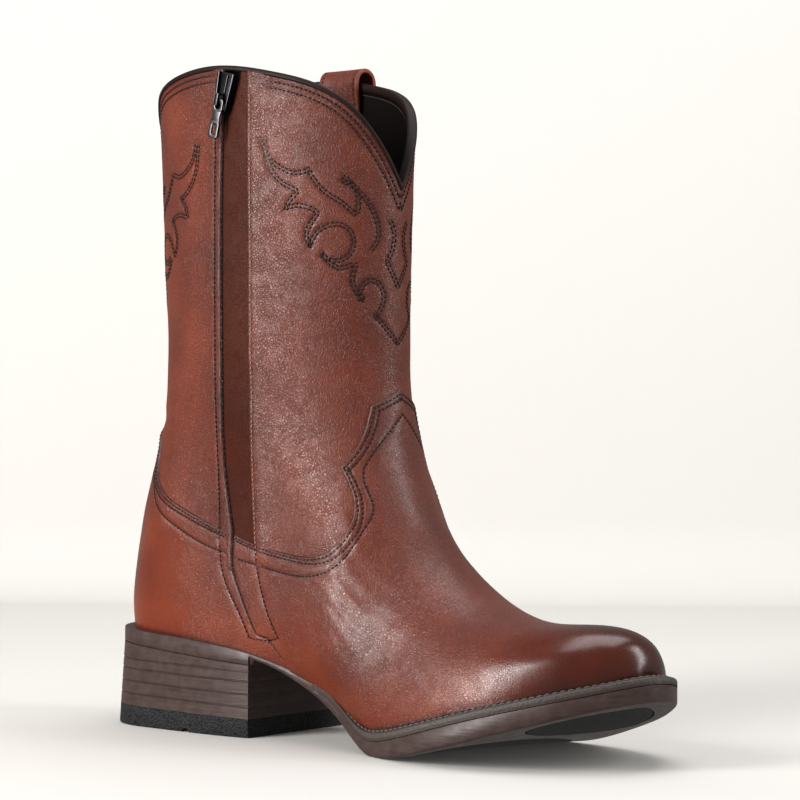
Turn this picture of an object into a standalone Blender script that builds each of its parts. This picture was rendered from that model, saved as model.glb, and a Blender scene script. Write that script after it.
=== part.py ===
"""A left roper boot with a zip along its inner side, built piece by piece round one last.

Sizes are in millimetres until a mesh is made. The working frame has x from the seat's back edge
to the toe, y to the outer (lateral) side and z up from the floor. Meshes are moved so that
the origin lies on the floor, at the middle of the boot's length and width.
"""
import bmesh
import bpy
import numpy as np
from mathutils import Matrix

MM = 0.001

# Driving dimensions
SOLE_LENGTH = 292.5
HEEL_LENGTH = 93.0
HEEL_FLARE = 2.4
LIFT_HEIGHT = 8.4
LIFT_SLOPE = 1.2
FOREFOOT_LEAN = 8.0
LEAN_FROM = -45.0
LEAN_TO = 54.5
WALL = 2.4
GAP = 0.3
RIM_GAP = 0.4
OVERLAY = 1.1
WELT_THICKNESS = 3.0
INSOLE_THICKNESS = 2.6
BINDING_THICKNESS = 0.7
BINDING_DEPTH = 3.4
LOOP_WIDTH = 25.0
LOOP_THICKNESS = 2.0

# x, medial half width, lateral half width of the sole, before its two ends are rounded
SOLE_PLAN = (
    (0, 33.4, 33.4), (33, 33.4, 33.6), (62, 34.6, 36.0), (92, 32.8, 36.0), (118, 28.0, 36.0),
    (142, 30.5, 41.0), (166, 40.0, 48.0), (190, 47.5, 53.0), (212, 49.0, 54.5), (234, 46.4, 52.0),
    (255, 39.5, 45.2), (271, 32.4, 39.0), (282, 27.5, 34.6), (292.5, 23.8, 31.2),
)
HEEL_ROUND_PLAN = (33.0, 2.5)
TOE_ROUND_PLAN = (34.0, 2.05)

# x, height of the sole's upper face at its edge
SOLE_TOP = (
    (0, 45.4), (30, 43.6), (50, 42.6), (76, 40.4), (92, 38.0), (104, 34.8), (116, 31.0), (130, 26.0),
    (143, 20.0), (155, 13.8), (166, 10.0), (178, 10.4), (192, 13.4), (217, 20.2), (240, 26.6),
    (259, 32.0), (275, 36.9), (292.5, 43.0),
)

# x, height of the seat's lower face on the heel
SEAT_BOTTOM = ((0, 38.6), (50, 35.0), (93, 32.2))

# x, height of the sole's lower face in front of the heel: arch, tread on the floor, toe spring
SOLE_BOTTOM = (
    (93, 35.4), (104, 32.2), (112, 28.8), (120, 25.0), (130, 20.0), (142, 13.6), (151, 8.4),
    (159, 4.0), (166, 0.9), (173, -0.4), (180, 0.0), (188, 1.2), (200, 3.9), (219, 8.9),
    (240, 15.3), (259, 21.4), (275, 27.0), (292.5, 32.6),
)

# x, half widths of the upper a little way above the sole
BODY_WIDTH = (
    (0, 29.5, 29.5), (30, 31.0, 31.0), (62, 33.2, 33.2), (92, 34.5, 35.0), (118, 36.5, 38.0),
    (142, 40.5, 43.0), (166, 44.0, 47.0), (190, 44.5, 49.0), (212, 43.5, 48.5), (234, 40.0, 45.0),
    (256, 33.5, 37.5), (272, 25.0, 27.0),
)

# x, how far the upper's lower edge lies inside the sole's edge
LEDGE = ((0, 4.6), (60, 4.0), (95, 2.5), (125, 1.5), (165, 4.5), (200, 6.0), (292.5, 6.0))

# Loops of the upper from the feather line up: back x and z, front x and z, how far the loop
# follows the sole's curve, its share of the shaft's oval, and the oval's half width
LAST_LOOPS = (
    (2.0, 46.0, 284.0, 43.0, 1.00, 0.00, 34.0),
    (1.4, 56.0, 284.6, 48.1, 1.00, 0.00, 34.0),
    (2.0, 64.0, 282.5, 54.1, 0.90, 0.00, 34.0),
    (3.3, 72.5, 274.5, 59.2, 0.80, 0.00, 34.0),
    (4.8, 81.0, 257.0, 60.7, 0.68, 0.00, 34.0),
    (6.6, 90.0, 236.0, 60.3, 0.55, 0.00, 34.0),
    (8.6, 99.5, 214.0, 63.9, 0.42, 0.00, 34.0),
    (11.0, 109.0, 192.6, 72.5, 0.30, 0.06, 34.0),
    (13.8, 119.0, 175.6, 87.0, 0.20, 0.18, 34.4),
    (16.6, 130.5, 163.8, 105.5, 0.10, 0.40, 35.0),
    (18.9, 144.5, 156.4, 125.0, 0.03, 0.68, 36.0),
    (20.0, 163.0, 152.6, 150.0, 0.00, 0.92, 36.8),
    (19.9, 188.0, 151.2, 180.0, 0.00, 1.00, 37.3),
    (18.3, 222.0, 151.8, 218.0, 0.00, 1.00, 37.9),
    (15.8, 262.0, 153.2, 262.0, 0.00, 1.00, 38.4),
    (12.8, 308.0, 155.0, 308.0, 0.00, 1.00, 38.8),
)
HEEL_ROUND = (33.0, 2.0)
TOE_ROUND = (26.0, 2.0)
TOE_TIP = 285.2

# share of the way from the back centre to the front centre, height of the collar's edge
COLLAR = (
    (0.0, 268.0), (0.05, 273.0), (0.12, 285.7), (0.214, 293.8), (0.334, 297.6), (0.48, 298.6),
    (0.564, 296.9), (0.65, 293.9), (0.73, 290.3), (0.80, 285.2), (0.856, 278.6), (0.912, 268.0),
    (0.958, 256.7), (1.0, 245.0),
)

# x, z of the line where the shafts' lower edge runs under vamp and counter
TONGUE_LINE = (
    (190, 158), (152.4, 155.4), (147.6, 148.4), (147.2, 140.2), (145.0, 130.0), (141.2, 121.5),
    (146.5, 111.8), (149.6, 102.8), (148.6, 94.1), (143.4, 86.8), (134.8, 83.2), (125.9, 82.7),
    (112.7, 84.3), (93.0, 88.0),
)
COUNTER_LINE = (
    (92.6, 88.0), (77.1, 92.5), (65.7, 96.4), (53.9, 100.7), (42.0, 105.8), (33.5, 111.8),
    (28.5, 119.0), (27.0, 127.0), (24.0, 135.5), (18.0, 140.5), (-10, 141.5),
)
SIDE_SEAM = ((93.0, 88.0), (96.0, 76.0), (101.0, 62.0), (107.5, 48.0), (112.3, 30.0), (113, -20))

# z, x of the back edge of the zip's band, x of the zip's closing line, x of the flap's front edge
ZIP_LINES = (
    (46.0, 93.5, 98.6, 111.6), (56.0, 88.9, 94.0, 106.8), (67.0, 82.0, 88.8, 102.9),
    (77.0, 78.2, 85.1, 100.2), (88.0, 77.0, 85.0, 98.4), (99.0, 76.5, 83.4, 97.4),
    (120.0, 75.9, 80.0, 96.5), (150.0, 76.4, 80.4, 97.2), (182.0, 76.9, 81.0, 97.4),
    (240.0, 77.6, 81.6, 97.3), (292.0, 78.6, 83.6, 97.2),
)
CHAIN_HALF_WIDTH = 1.3

MEDIAL = 0
LATERAL = 1
UPPER_COLUMNS = 48
OUTLINE_STATIONS = 36


def natural_spline(knots, values, at):
    """Values at the places 'at' on the smooth curve through the knots, straight at its ends."""
    knots = np.asarray(knots, float)
    values = np.asarray(values, float)
    at = np.atleast_1d(np.asarray(at, float))
    count = len(knots)
    table = values.reshape(count, -1)
    step = np.diff(knots)
    matrix = np.eye(count)
    right = np.zeros_like(table)
    for i in range(1, count - 1):
        matrix[i, i - 1:i + 2] = (step[i - 1], 2 * (step[i - 1] + step[i]), step[i])
        slope_after = (table[i + 1] - table[i]) / step[i]
        slope_before = (table[i] - table[i - 1]) / step[i - 1]
        right[i] = 6 * (slope_after - slope_before)
    bend = np.linalg.solve(matrix, right)
    i = np.clip(np.searchsorted(knots, at, side="right") - 1, 0, count - 2)
    after = (at - knots[i])[:, None]
    before = (knots[i + 1] - at)[:, None]
    h = step[i][:, None]
    curve = (bend[i] * before ** 3 + bend[i + 1] * after ** 3) / (6 * h)
    curve += (table[i] / h - bend[i] * h / 6) * before
    curve += (table[i + 1] / h - bend[i + 1] * h / 6) * after
    return curve.reshape((len(at),) + values.shape[1:])


def read(table, column, place):
    """A column of a table as a smooth curve over its first column."""
    table = np.array(table, float)
    return natural_spline(table[:, 0], table[:, column], np.clip(place, table[0, 0], table[-1, 0]))


def rounding(distance, length, power):
    """0 at an end and 1 from 'length' on, as a heel or toe is rounded in plan."""
    share = np.clip(np.asarray(distance, float) / length, 0, 1)
    return (1 - (1 - share) ** power) ** (1 / power)


def sole_top(x):
    return read(SOLE_TOP, 1, x)


def sole_bottom(x):
    in_front = np.maximum(read(SOLE_BOTTOM, 1, x), 0.0)
    return np.where(np.asarray(x, float) <= HEEL_LENGTH + 0.01, read(SEAT_BOTTOM, 1, x), in_front)


def lean(points):
    """The forefoot leans to its outer side: there the toe spring starts further forward."""
    points = np.array(points, float)
    x, y = points[:, 0], points[:, 1]
    spring = np.where(x > 173.0, np.maximum(read(SOLE_BOTTOM, 1, x), 0.0), 0.0)
    drop = spring / (1 + (spring / FOREFOOT_LEAN) ** 4) ** 0.25
    points[:, 2] -= drop * (y - LEAN_FROM) / (LEAN_TO - LEAN_FROM)
    return points


def rim_rise(x):
    """How far the welt's inner edge, and the upper on it, stand above the sole's edge."""
    return 2.4 * np.clip((x - 150.0) / 25.0, 0, 1)


def welt_width(x):
    """From the sole's edge to under the upper's wall."""
    return np.maximum(read(LEDGE, 1, x) - 0.9, 0.6) + WALL


def loop_levels():
    """Each loop's place along the upper, its mean distance from the feather line."""
    loops = np.array(LAST_LOOPS)
    back = np.hypot(np.diff(loops[:, 0]), np.diff(loops[:, 1]))
    front = np.hypot(np.diff(loops[:, 2]), np.diff(loops[:, 3]))
    return np.r_[0, np.cumsum((back + front) / 2)]


def ridge_height(x):
    """Height of the centre line over the forefoot, and far above the shaft's sides."""
    levels = loop_levels()
    fine = natural_spline(levels, np.array(LAST_LOOPS)[:, 2:4], np.linspace(0, levels[-1], 600))
    low = fine[fine[:, 1] < 150.0][::-1]
    front = np.maximum.accumulate(low[:, 0])
    return np.interp(x, front, low[:, 1]) + 4.0 * np.clip(front[0] - x, 0, None)


def half_loop(loop, side, count):
    """Points from back to front along one side of a loop, evenly spaced."""
    back_x, back_z, front_x, front_z, follow, oval, oval_half = loop
    turn = np.linspace(0, np.pi, 241)
    share = (1 - np.cos(turn)) / 2
    x = back_x + (front_x - back_x) * share
    floor = sole_top(x) + rim_rise(x) + RIM_GAP
    if loop is LAST_LOOPS[0]:
        z = floor
        dome = 1.0
    else:
        z = back_z + (front_z - back_z) * share
        z = z + follow * (floor - floor[0] - (floor[-1] - floor[0]) * share)
        climb = np.clip((z - floor) / (ridge_height(x) - floor), 0, 1)
        power = 1.55 + 0.75 * np.clip((x - 175.0) / 60.0, 0, 1)
        dome = (1 - climb ** power) ** (1 / 1.9)
    base = read(SOLE_PLAN, 1 + side, x) - read(LEDGE, 1, x)
    body = read(BODY_WIDTH, 1 + side, x)
    rise = np.clip(z - floor, 0, None)
    width = base + (body - base) * (1 - np.exp(-(rise / 14.0) ** 1.2))
    ends = rounding(x - back_x, *HEEL_ROUND) * rounding(TOE_TIP - x, *TOE_ROUND)
    y = (1 - oval) * width * ends * dome + oval * oval_half * np.sin(turn)
    y[[0, -1]] = 0
    points = np.stack([x, y * (-1, 1)[side], z], axis=1)
    run = np.r_[0, np.cumsum(np.linalg.norm(np.diff(points, axis=0), axis=1))]
    even = np.linspace(0, run[-1], count)
    return np.stack([np.interp(even, run, points[:, i]) for i in range(3)], axis=1)


class Form:
    """The upper's outer face over the last, read at (round, level).

    'round' runs from 0 at the back over the medial side to 0.5 at the front and on to 1.
    """

    def __init__(self, around=480, rows=330):
        half = around // 2 + 1
        loops = []
        for loop in LAST_LOOPS:
            medial = half_loop(loop, MEDIAL, half)
            lateral = half_loop(loop, LATERAL, half)[::-1][1:-1]
            loops.append(np.r_[medial, lateral])
        levels = loop_levels()
        self.levels = np.linspace(0, levels[-1], rows)
        self.points = natural_spline(levels, np.array(loops), self.levels)
        across = np.roll(self.points, -1, axis=1) - np.roll(self.points, 1, axis=1)
        normal = np.cross(across, np.gradient(self.points, axis=0))
        self.normals = normal / np.linalg.norm(normal, axis=2)[:, :, None]

    def read_grid(self, grid, turn, level):
        turn, level = np.broadcast_arrays(np.asarray(turn, float), np.asarray(level, float))
        rows, around = grid.shape[:2]
        column = (turn % 1.0) * around
        left = np.floor(column).astype(int)
        a = (column - left)[..., None]
        right = (left + 1) % around
        left = left % around
        row = np.clip(level / self.levels[-1] * (rows - 1), 0, rows - 1.001)
        low = np.floor(row).astype(int)
        b = (row - low)[..., None]
        lower = grid[low, left] * (1 - a) + grid[low, right] * a
        upper = grid[low + 1, left] * (1 - a) + grid[low + 1, right] * a
        return lower * (1 - b) + upper * b

    def at(self, turn, level, offset=0.0):
        """Points at a distance outside the face, or inside it where the offset is negative."""
        normal = self.read_grid(self.normals, turn, level)
        offset = np.broadcast_to(np.asarray(offset, float), normal.shape[:-1])
        return self.read_grid(self.points, turn, level) + normal * offset[..., None]

    def level_of(self, turn, z):
        """The level at which the column at 'turn' reaches the height z."""
        column = self.read_grid(self.points, turn, self.levels)
        return np.interp(z, column[:, 2], self.levels)

    def spot(self, x, z, side):
        """The (round, level) of the face's point at x and z on one side."""
        turns = np.linspace(0.004, 0.496, 200)
        if side == LATERAL:
            turns = 1 - turns
        levels = np.array([self.level_of(turn, z) for turn in turns])
        places = self.at(turns, levels)[:, 0]
        turn = np.interp(x, places, turns)
        return turn, np.interp(x, places, levels)


FORM = Form()


def outline(inset=0.0, start=0.0, end=SOLE_LENGTH, extra=()):
    """The sole's medial and lateral edge between two places, moved inward by 'inset'."""
    turn = np.linspace(0, np.pi, OUTLINE_STATIONS)
    stations = SOLE_LENGTH * (1 - np.cos(turn)) / 2
    inner = stations[(stations > start + 1.0) & (stations < end - 1.0)]
    x = np.unique(np.r_[start, inner, end, np.array(extra, float)])
    sides = []
    for side in (MEDIAL, LATERAL):
        sides.append(np.stack([x, (-1, 1)[side] * sole_side(x, side)], axis=1))
    moved = []
    for side, edge in enumerate(sides):
        fine = np.stack([x + 0.05, (-1, 1)[side] * sole_side(x + 0.05, side)], axis=1)
        rough = np.stack([x - 0.05, (-1, 1)[side] * sole_side(x - 0.05, side)], axis=1)
        along = fine - rough
        along[x < 0.06] = (0, (-1, 1)[side])
        along[x > SOLE_LENGTH - 0.06] = (0, (1, -1)[side])
        inward = np.stack([-along[:, 1], along[:, 0]], axis=1) * (1, -1)[side]
        inward /= np.linalg.norm(inward, axis=1)[:, None]
        distance = inset(x) if callable(inset) else np.full(len(x), float(inset))
        moved.append(edge + inward * distance[:, None])
    return moved


def sole_side(x, side):
    ends = rounding(x, *HEEL_ROUND_PLAN) * rounding(SOLE_LENGTH - x, *TOE_ROUND_PLAN)
    return read(SOLE_PLAN, 1 + side, x) * ends


ORIGIN = np.array([
    (SOLE_LENGTH - HEEL_FLARE) / 2,
    (sole_side(np.linspace(180, 240, 121), LATERAL).max()
     - sole_side(np.linspace(180, 240, 121), MEDIAL).max()) / 2,
    0.0,
])


def material(name, colour, roughness, metallic=0.0):
    made = bpy.data.materials.new(name)
    made.use_nodes = True
    shader = made.node_tree.nodes["Principled BSDF"]
    shader.inputs["Base Color"].default_value = (*colour, 1.0)
    shader.inputs["Roughness"].default_value = roughness
    shader.inputs["Metallic"].default_value = metallic
    return made


def add_object(name, points, faces, finish, sharp_angle=40.0):
    """An object from points in millimetres of the working frame."""
    mesh = bpy.data.meshes.new(name)
    placed = (lean(points) - ORIGIN) * MM
    mesh.from_pydata([tuple(p) for p in placed], [], [tuple(int(i) for i in f) for f in faces])
    tidy = bmesh.new()
    tidy.from_mesh(mesh)
    bmesh.ops.recalc_face_normals(tidy, faces=tidy.faces)
    tidy.to_mesh(mesh)
    tidy.free()
    mesh.materials.append(finish)
    mesh.shade_smooth()
    mesh.set_sharp_from_angle(angle=np.radians(sharp_angle))
    made = bpy.data.objects.new(name, mesh)
    bpy.context.scene.collection.objects.link(made)
    return made


def cut(target, cutter, operation="DIFFERENCE", solver="EXACT"):
    step = target.modifiers.new(operation.title(), "BOOLEAN")
    step.operation = operation
    step.object = cutter
    step.solver = solver
    cutter.hide_render = True
    cutter.display_type = "WIRE"


def stacked_plate(name, levels, finish, edges=None, **limits):
    """A solid of the sole's outline: one pair of edges for each (inset, height) level, low to high."""
    points = []
    for inset, height in levels:
        medial, lateral = outline(inset, **limits) if edges is None else edges(inset)
        ring = np.r_[medial, lateral[::-1]]
        z = height(ring[:, 0]) if callable(height) else np.full(len(ring), float(height))
        points.append(np.c_[ring, z])
    count = len(points[0])
    half = count // 2
    faces = []
    for level in range(len(points) - 1):
        for i in range(count):
            j = (i + 1) % count
            low, high = level * count, (level + 1) * count
            faces.append((low + i, low + j, high + j, high + i))
    top = (len(points) - 1) * count
    for i in range(half - 1):
        back, front = count - 1 - i, count - 2 - i
        faces.append((i, back, front, i + 1))
        faces.append((top + i, top + i + 1, top + front, top + back))
    return weld(add_object(name, np.concatenate(points), faces, finish))


def weld(target, distance=0.02):
    """Joins points that fell together at a rounded end, and drops what closed up there."""
    body = bmesh.new()
    body.from_mesh(target.data)
    bmesh.ops.remove_doubles(body, verts=body.verts, dist=distance * MM)
    bmesh.ops.dissolve_degenerate(body, edges=body.edges, dist=distance * MM / 2)
    bmesh.ops.recalc_face_normals(body, faces=body.faces)
    body.to_mesh(target.data)
    body.free()
    return target


def sheet_solid(name, low, high, finish, closed=False):
    """A solid between two grids of points; 'closed' joins the last column to the first."""
    rows, columns = low.shape[:2]
    size = rows * columns
    points = np.r_[low.reshape(-1, 3), high.reshape(-1, 3)]
    faces = []
    spans = columns if closed else columns - 1
    for i in range(rows - 1):
        for j in range(spans):
            a, b = i * columns + j, i * columns + (j + 1) % columns
            c, d = a + columns, b + columns
            faces += [(a, c, d), (a, d, b)]
            faces += [(size + a, size + d, size + c), (size + a, size + b, size + d)]
    for i in (0, rows - 1):
        for j in range(spans):
            a, b = i * columns + j, i * columns + (j + 1) % columns
            faces.append((a, b, size + b, size + a))
    if not closed:
        for j in (0, columns - 1):
            for i in range(rows - 1):
                a, b = i * columns + j, (i + 1) * columns + j
                faces.append((a, b, size + b, size + a))
    return add_object(name, points, faces, finish)


def prism(name, outline_xz, y_from, y_to, finish):
    """A cutter with its outline in the side view."""
    count = len(outline_xz)
    near = [(x, y_from, z) for x, z in outline_xz]
    far = [(x, y_to, z) for x, z in outline_xz]
    faces = [tuple(range(count)), tuple(range(2 * count - 1, count - 1, -1))]
    for i in range(count):
        j = (i + 1) % count
        faces.append((i, j, count + j, count + i))
    return add_object(name, near + far, faces, finish)


def collar_level(turn):
    """The level of the collar's edge, the same on both sides."""
    share = 1 - np.abs(1 - 2 * (np.asarray(turn, float) % 1.0))
    height = read(COLLAR, 1, share)
    return np.array([FORM.level_of(t, z) for t, z in zip(np.atleast_1d(turn), height)])


def flare(z):
    """The heel's sides spread toward the floor at the back, and not at the breast."""
    spread = HEEL_FLARE * (1 - z / 37.0)
    return lambda x: -spread * np.clip(1 - x / 80.0, 0, 1)


def slope(z):
    """A lift's line: it rises a little from the breast to the heel's back."""
    return lambda x: z + LIFT_SLOPE * (1 - x / HEEL_LENGTH)


def make_outsole(finish):
    """Moulded sole from seat to toe, with a rebate for the welt and two for the treads."""
    def rim(x):
        return sole_top(x) - (WELT_THICKNESS + 1.5 * GAP) * np.clip((x - 127.0) / 0.6, 0, 1)
    levels = (
        (1.1, sole_bottom),
        (0.0, lambda x: sole_bottom(x) + 1.1),
        (0.0, rim),
        (lambda x: welt_width(x) + 2.5 * GAP, rim),
        (lambda x: welt_width(x) + 3.5 * GAP, sole_top),
    )
    extra = (HEEL_LENGTH, HEEL_LENGTH + GAP, 127.0, 127.6, 128.0)
    return stacked_plate("outsole", levels, finish, extra=extra)


def tread_edges(start, end, margin, ease):
    """Edges of a tread pad that keeps inside the sole's rim and is rounded at both ends."""
    def edges(inset):
        turn = np.linspace(0, np.pi, 22)
        x = start + inset + (end - start - 2 * inset) * (1 - np.cos(turn)) / 2
        ends = rounding(x - start - inset, ease, 2.0) * rounding(end - inset - x, ease, 2.0)
        sides = []
        for side in (MEDIAL, LATERAL):
            half = (sole_side(x, side) - margin - inset) * ends
            sides.append(np.stack([x, (-1, 1)[side] * half], axis=1))
        return sides
    return edges


# name, start, end, distance inside the sole's edge, rounding of its ends
TREADS = (("ball_tread", 152.0, 229.0, 9.0, 22.0), ("toe_tread", 236.0, 282.0, 9.0, 20.0))
TREAD_DEPTH = 2.2


def make_treads(outsole, finish):
    """Two rubber pads let into the underside, flush with the rim round them."""
    for name, start, end, margin, ease in TREADS:
        edges = tread_edges(start, end, margin, ease)
        pad_levels = ((0.0, sole_bottom), (0.0, lambda x: sole_bottom(x) + TREAD_DEPTH))
        stacked_plate(name, pad_levels, finish, edges)
        well_levels = ((-GAP, lambda x: sole_bottom(x) - 3.0),
                       (-GAP, lambda x: sole_bottom(x) + TREAD_DEPTH + GAP))
        cut(outsole, stacked_plate(name + "_well", well_levels, finish, edges))


HEEL_GROOVES = (13.8, 19.5, 25.2, 29.6)
GROOVE_DEPTH = 0.7
NOTCH_X = 56.5
NOTCH_RADIUS = 2.0


def make_heel(stack_finish, rubber):
    """The stacked heel block with a groove at each lift, and the rubber top lift under it."""
    levels = [(flare(LIFT_HEIGHT), slope(LIFT_HEIGHT + GAP))]
    for z in HEEL_GROOVES:
        side = flare(z)
        levels.append((side, slope(z - 0.5)))
        levels.append((lambda x, side=side: side(x) + GROOVE_DEPTH, slope(z)))
        levels.append((side, slope(z + 0.5)))
    levels.append((0.0, lambda x: sole_bottom(x) - GAP))
    stacked_plate("heel_stack", levels, stack_finish, end=HEEL_LENGTH)

    lift_levels = (
        (lambda x: flare(0)(x) + 0.8, 0.0),
        (flare(0), 0.8),
        (flare(LIFT_HEIGHT), slope(LIFT_HEIGHT)),
    )
    lift = stacked_plate("heel_top_lift", lift_levels, rubber, end=HEEL_LENGTH)
    turn = np.linspace(0, 2 * np.pi, 13)[:-1]
    notch = [(NOTCH_X + NOTCH_RADIUS * np.cos(t), NOTCH_RADIUS * np.sin(t)) for t in turn]
    cut(lift, prism("lift_notch", notch, -60, 60, rubber))


def make_welt(finish):
    """A strip round the forefoot, its upper face rising toward the upper."""
    def low(x):
        return sole_top(x) - WELT_THICKNESS

    def high(x):
        return sole_top(x) + rim_rise(x) - 1.5 * GAP * np.clip((x - 150.0) / 25.0, 0.3, 1)

    def face(x):
        return np.maximum(read(LEDGE, 1, x) - 0.4, 0.8)

    # distance inside the sole's edge, height
    section = ((0.0, low), (0.0, sole_top), (face, high), (welt_width, high), (welt_width, low))
    stations = []
    for inset, height in section:
        medial, lateral = outline(inset, start=128.0)
        ring = np.r_[medial, lateral[::-1][1:]]
        stations.append(np.c_[ring, height(ring[:, 0])])
    points = np.stack(stations, axis=1)
    count, sides = points.shape[:2]
    faces = [tuple(range(sides)), tuple(reversed(range((count - 1) * sides, count * sides)))]
    for i in range(count - 1):
        for j in range(sides):
            k = (j + 1) % sides
            a, b = i * sides, (i + 1) * sides
            faces.append((a + j, b + j, b + k, a + k))
    add_object("welt", points.reshape(-1, 3), faces, finish)


def make_insole(finish):
    """The footbed inside the upper's lower edge."""
    turns = np.arange(UPPER_COLUMNS // 2 + 1) / UPPER_COLUMNS

    def edges(inset):
        sides = []
        for side in (MEDIAL, LATERAL):
            way = turns if side == MEDIAL else 1 - turns
            line = FORM.at(way, 0.0)[:, :2]
            ahead = FORM.at(way + 0.002, 0.0)[:, :2] - FORM.at(way - 0.002, 0.0)[:, :2]
            inward = np.stack([-ahead[:, 1], ahead[:, 0]], axis=1)
            inward /= np.linalg.norm(inward, axis=1)[:, None]
            edge = line + inward * (WALL + 0.6 + inset)
            edge[[0, -1], 1] = 0.0
            sides.append(edge)
        return sides

    clearance = GAP + 0.45
    levels = ((0.0, lambda x: sole_top(x) + clearance),
              (0.0, lambda x: sole_top(x) + clearance + INSOLE_THICKNESS))
    stacked_plate("insole", levels, finish, edges)


# levels of the upper's rows from the feather line to where its rows begin to follow the collar
SHARED_LEVELS = (0, 4, 9, 15, 22, 30, 40, 52, 65, 80, 96, 113, 130, 150, 170, 190)
COLLAR_ROWS = 7


def layer(turns, levels, offset):
    """A grid at a distance from the upper's face, with its lowest row kept level at the sole."""
    grid = FORM.at(turns, levels, offset)
    foot = np.broadcast_to(turns, grid.shape[:2])[0]
    line = FORM.at(foot, 0.0)
    ahead = FORM.at(foot + 0.004, 0.0) - FORM.at(foot - 0.004, 0.0)
    outward = np.stack([ahead[:, 1], -ahead[:, 0]], axis=1)
    outward /= np.linalg.norm(outward, axis=1)[:, None]
    grid[0, :, :2] = line[:, :2] + outward * offset
    grid[0, :, 2] = line[:, 2]
    return grid


def make_upper(finish):
    """The hollow boot upper: one wall from the feather line to the scalloped collar."""
    turns = np.arange(UPPER_COLUMNS) / UPPER_COLUMNS
    collar = collar_level(turns)
    last = SHARED_LEVELS[-1]
    rows = [np.full(UPPER_COLUMNS, float(level)) for level in SHARED_LEVELS]
    rows += [last + (collar - last) * (i + 1) / COLLAR_ROWS for i in range(COLLAR_ROWS)]
    levels = np.array(rows)
    outer = layer(turns[None, :], levels, 0.0)
    inner = layer(turns[None, :], levels, -WALL)
    sheet_solid("upper", inner, outer, finish, closed=True)


def make_overlays(finish):
    """Vamp and counter: a layer over the upper, each cut to its pattern's edge."""
    window = [(row[1] - 0.3, row[0]) for row in ZIP_LINES[:6]]
    window[0] = (ZIP_LINES[0][1] - 0.3, ZIP_LINES[0][0] - 0.4)
    window += [(row[3] + 0.3, row[0]) for row in reversed(ZIP_LINES[:6])]
    window[-1] = (ZIP_LINES[0][3] + 0.3, ZIP_LINES[0][0] - 0.4)
    vamp_edge = [(x + 0.2, z) for x, z in SIDE_SEAM]
    vamp_edge = list(TONGUE_LINE) + vamp_edge + [(330, -20), (330, 158)]
    counter_edge = [(x - 0.2, z) for x, z in SIDE_SEAM]
    counter_edge = list(reversed(COUNTER_LINE)) + counter_edge + [(-40, -20), (-40, 141.5)]
    # name, outline in the side view, first and last column of the upper's grid, its rows
    patterns = (("vamp", vamp_edge, 8, 40, 15), ("counter", counter_edge, -12, 12, 14))
    for name, edge, first, last, rows in patterns:
        turns = np.arange(first, last + 1)[None, :] / UPPER_COLUMNS
        levels = np.array(SHARED_LEVELS[:rows], float)[:, None]
        low = layer(turns, levels, GAP)
        high = layer(turns, levels, GAP + OVERLAY)
        piece = sheet_solid(name, low, high, finish)
        # EXACT loses the whole vamp here, so these two layers use the other solver
        cut(piece, prism(name + "_pattern", edge, -90, 90, finish), "INTERSECT", "MANIFOLD")
        cut(piece, prism(name + "_zip_window", window, -90, -5, finish), solver="MANIFOLD")


def strip(name, back_edge, front_edge, heights, side, low, high, finish, columns=3):
    """A strip on the shaft's side between two edges given as x for each height."""
    turns = np.zeros((len(heights), columns))
    levels = np.zeros((len(heights), columns))
    for i, z in enumerate(heights):
        for j, share in enumerate(np.linspace(0, 1, columns)):
            x = back_edge[i] + (front_edge[i] - back_edge[i]) * share
            turns[i, j], levels[i, j] = FORM.spot(x, z, side)
    return sheet_solid(name, FORM.at(turns, levels, low), FORM.at(turns, levels, high), finish)


def make_zip_strips(leather, metal):
    """The zip's rear band, its chain and the flap that covers the tape in front."""
    heights = np.r_[46.5, 56, 67, 77, 88, 99, 110, 120, 150, 182, 215, 250, 274, 291.6]
    back = read(ZIP_LINES, 1, heights)
    middle = read(ZIP_LINES, 2, heights)
    front = read(ZIP_LINES, 3, heights)
    top = GAP + OVERLAY
    strip("zip_band", back, middle - CHAIN_HALF_WIDTH - GAP, heights, MEDIAL, GAP, top, leather)
    strip("zip_flap", middle + CHAIN_HALF_WIDTH + GAP, front, heights, MEDIAL, GAP, top, leather, 4)
    chain = heights[:-1]
    strip("zip_chain", middle[:-1] - CHAIN_HALF_WIDTH, middle[:-1] + CHAIN_HALF_WIDTH, chain,
          MEDIAL, GAP, GAP + 0.8, metal, 2)


SIDE_STRIP_X = 87.0
SIDE_STRIP_HALF_WIDTH = 3.0


def make_side_strip(leather):
    """The narrow strip over the outer side seam, from counter line to collar."""
    heights = np.r_[93.5, 110, 130, 155, 182, 215, 253]
    middle = np.full(len(heights), SIDE_STRIP_X)
    strip("side_seam_strip", middle - SIDE_STRIP_HALF_WIDTH, middle + SIDE_STRIP_HALF_WIDTH,
          heights, LATERAL, GAP, GAP + OVERLAY, leather)


# distance between the upper's columns at the collar, and the most that a drop is stretched
COLUMN_SPACING = 6.3
STEEPEST = 1.8


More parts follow.
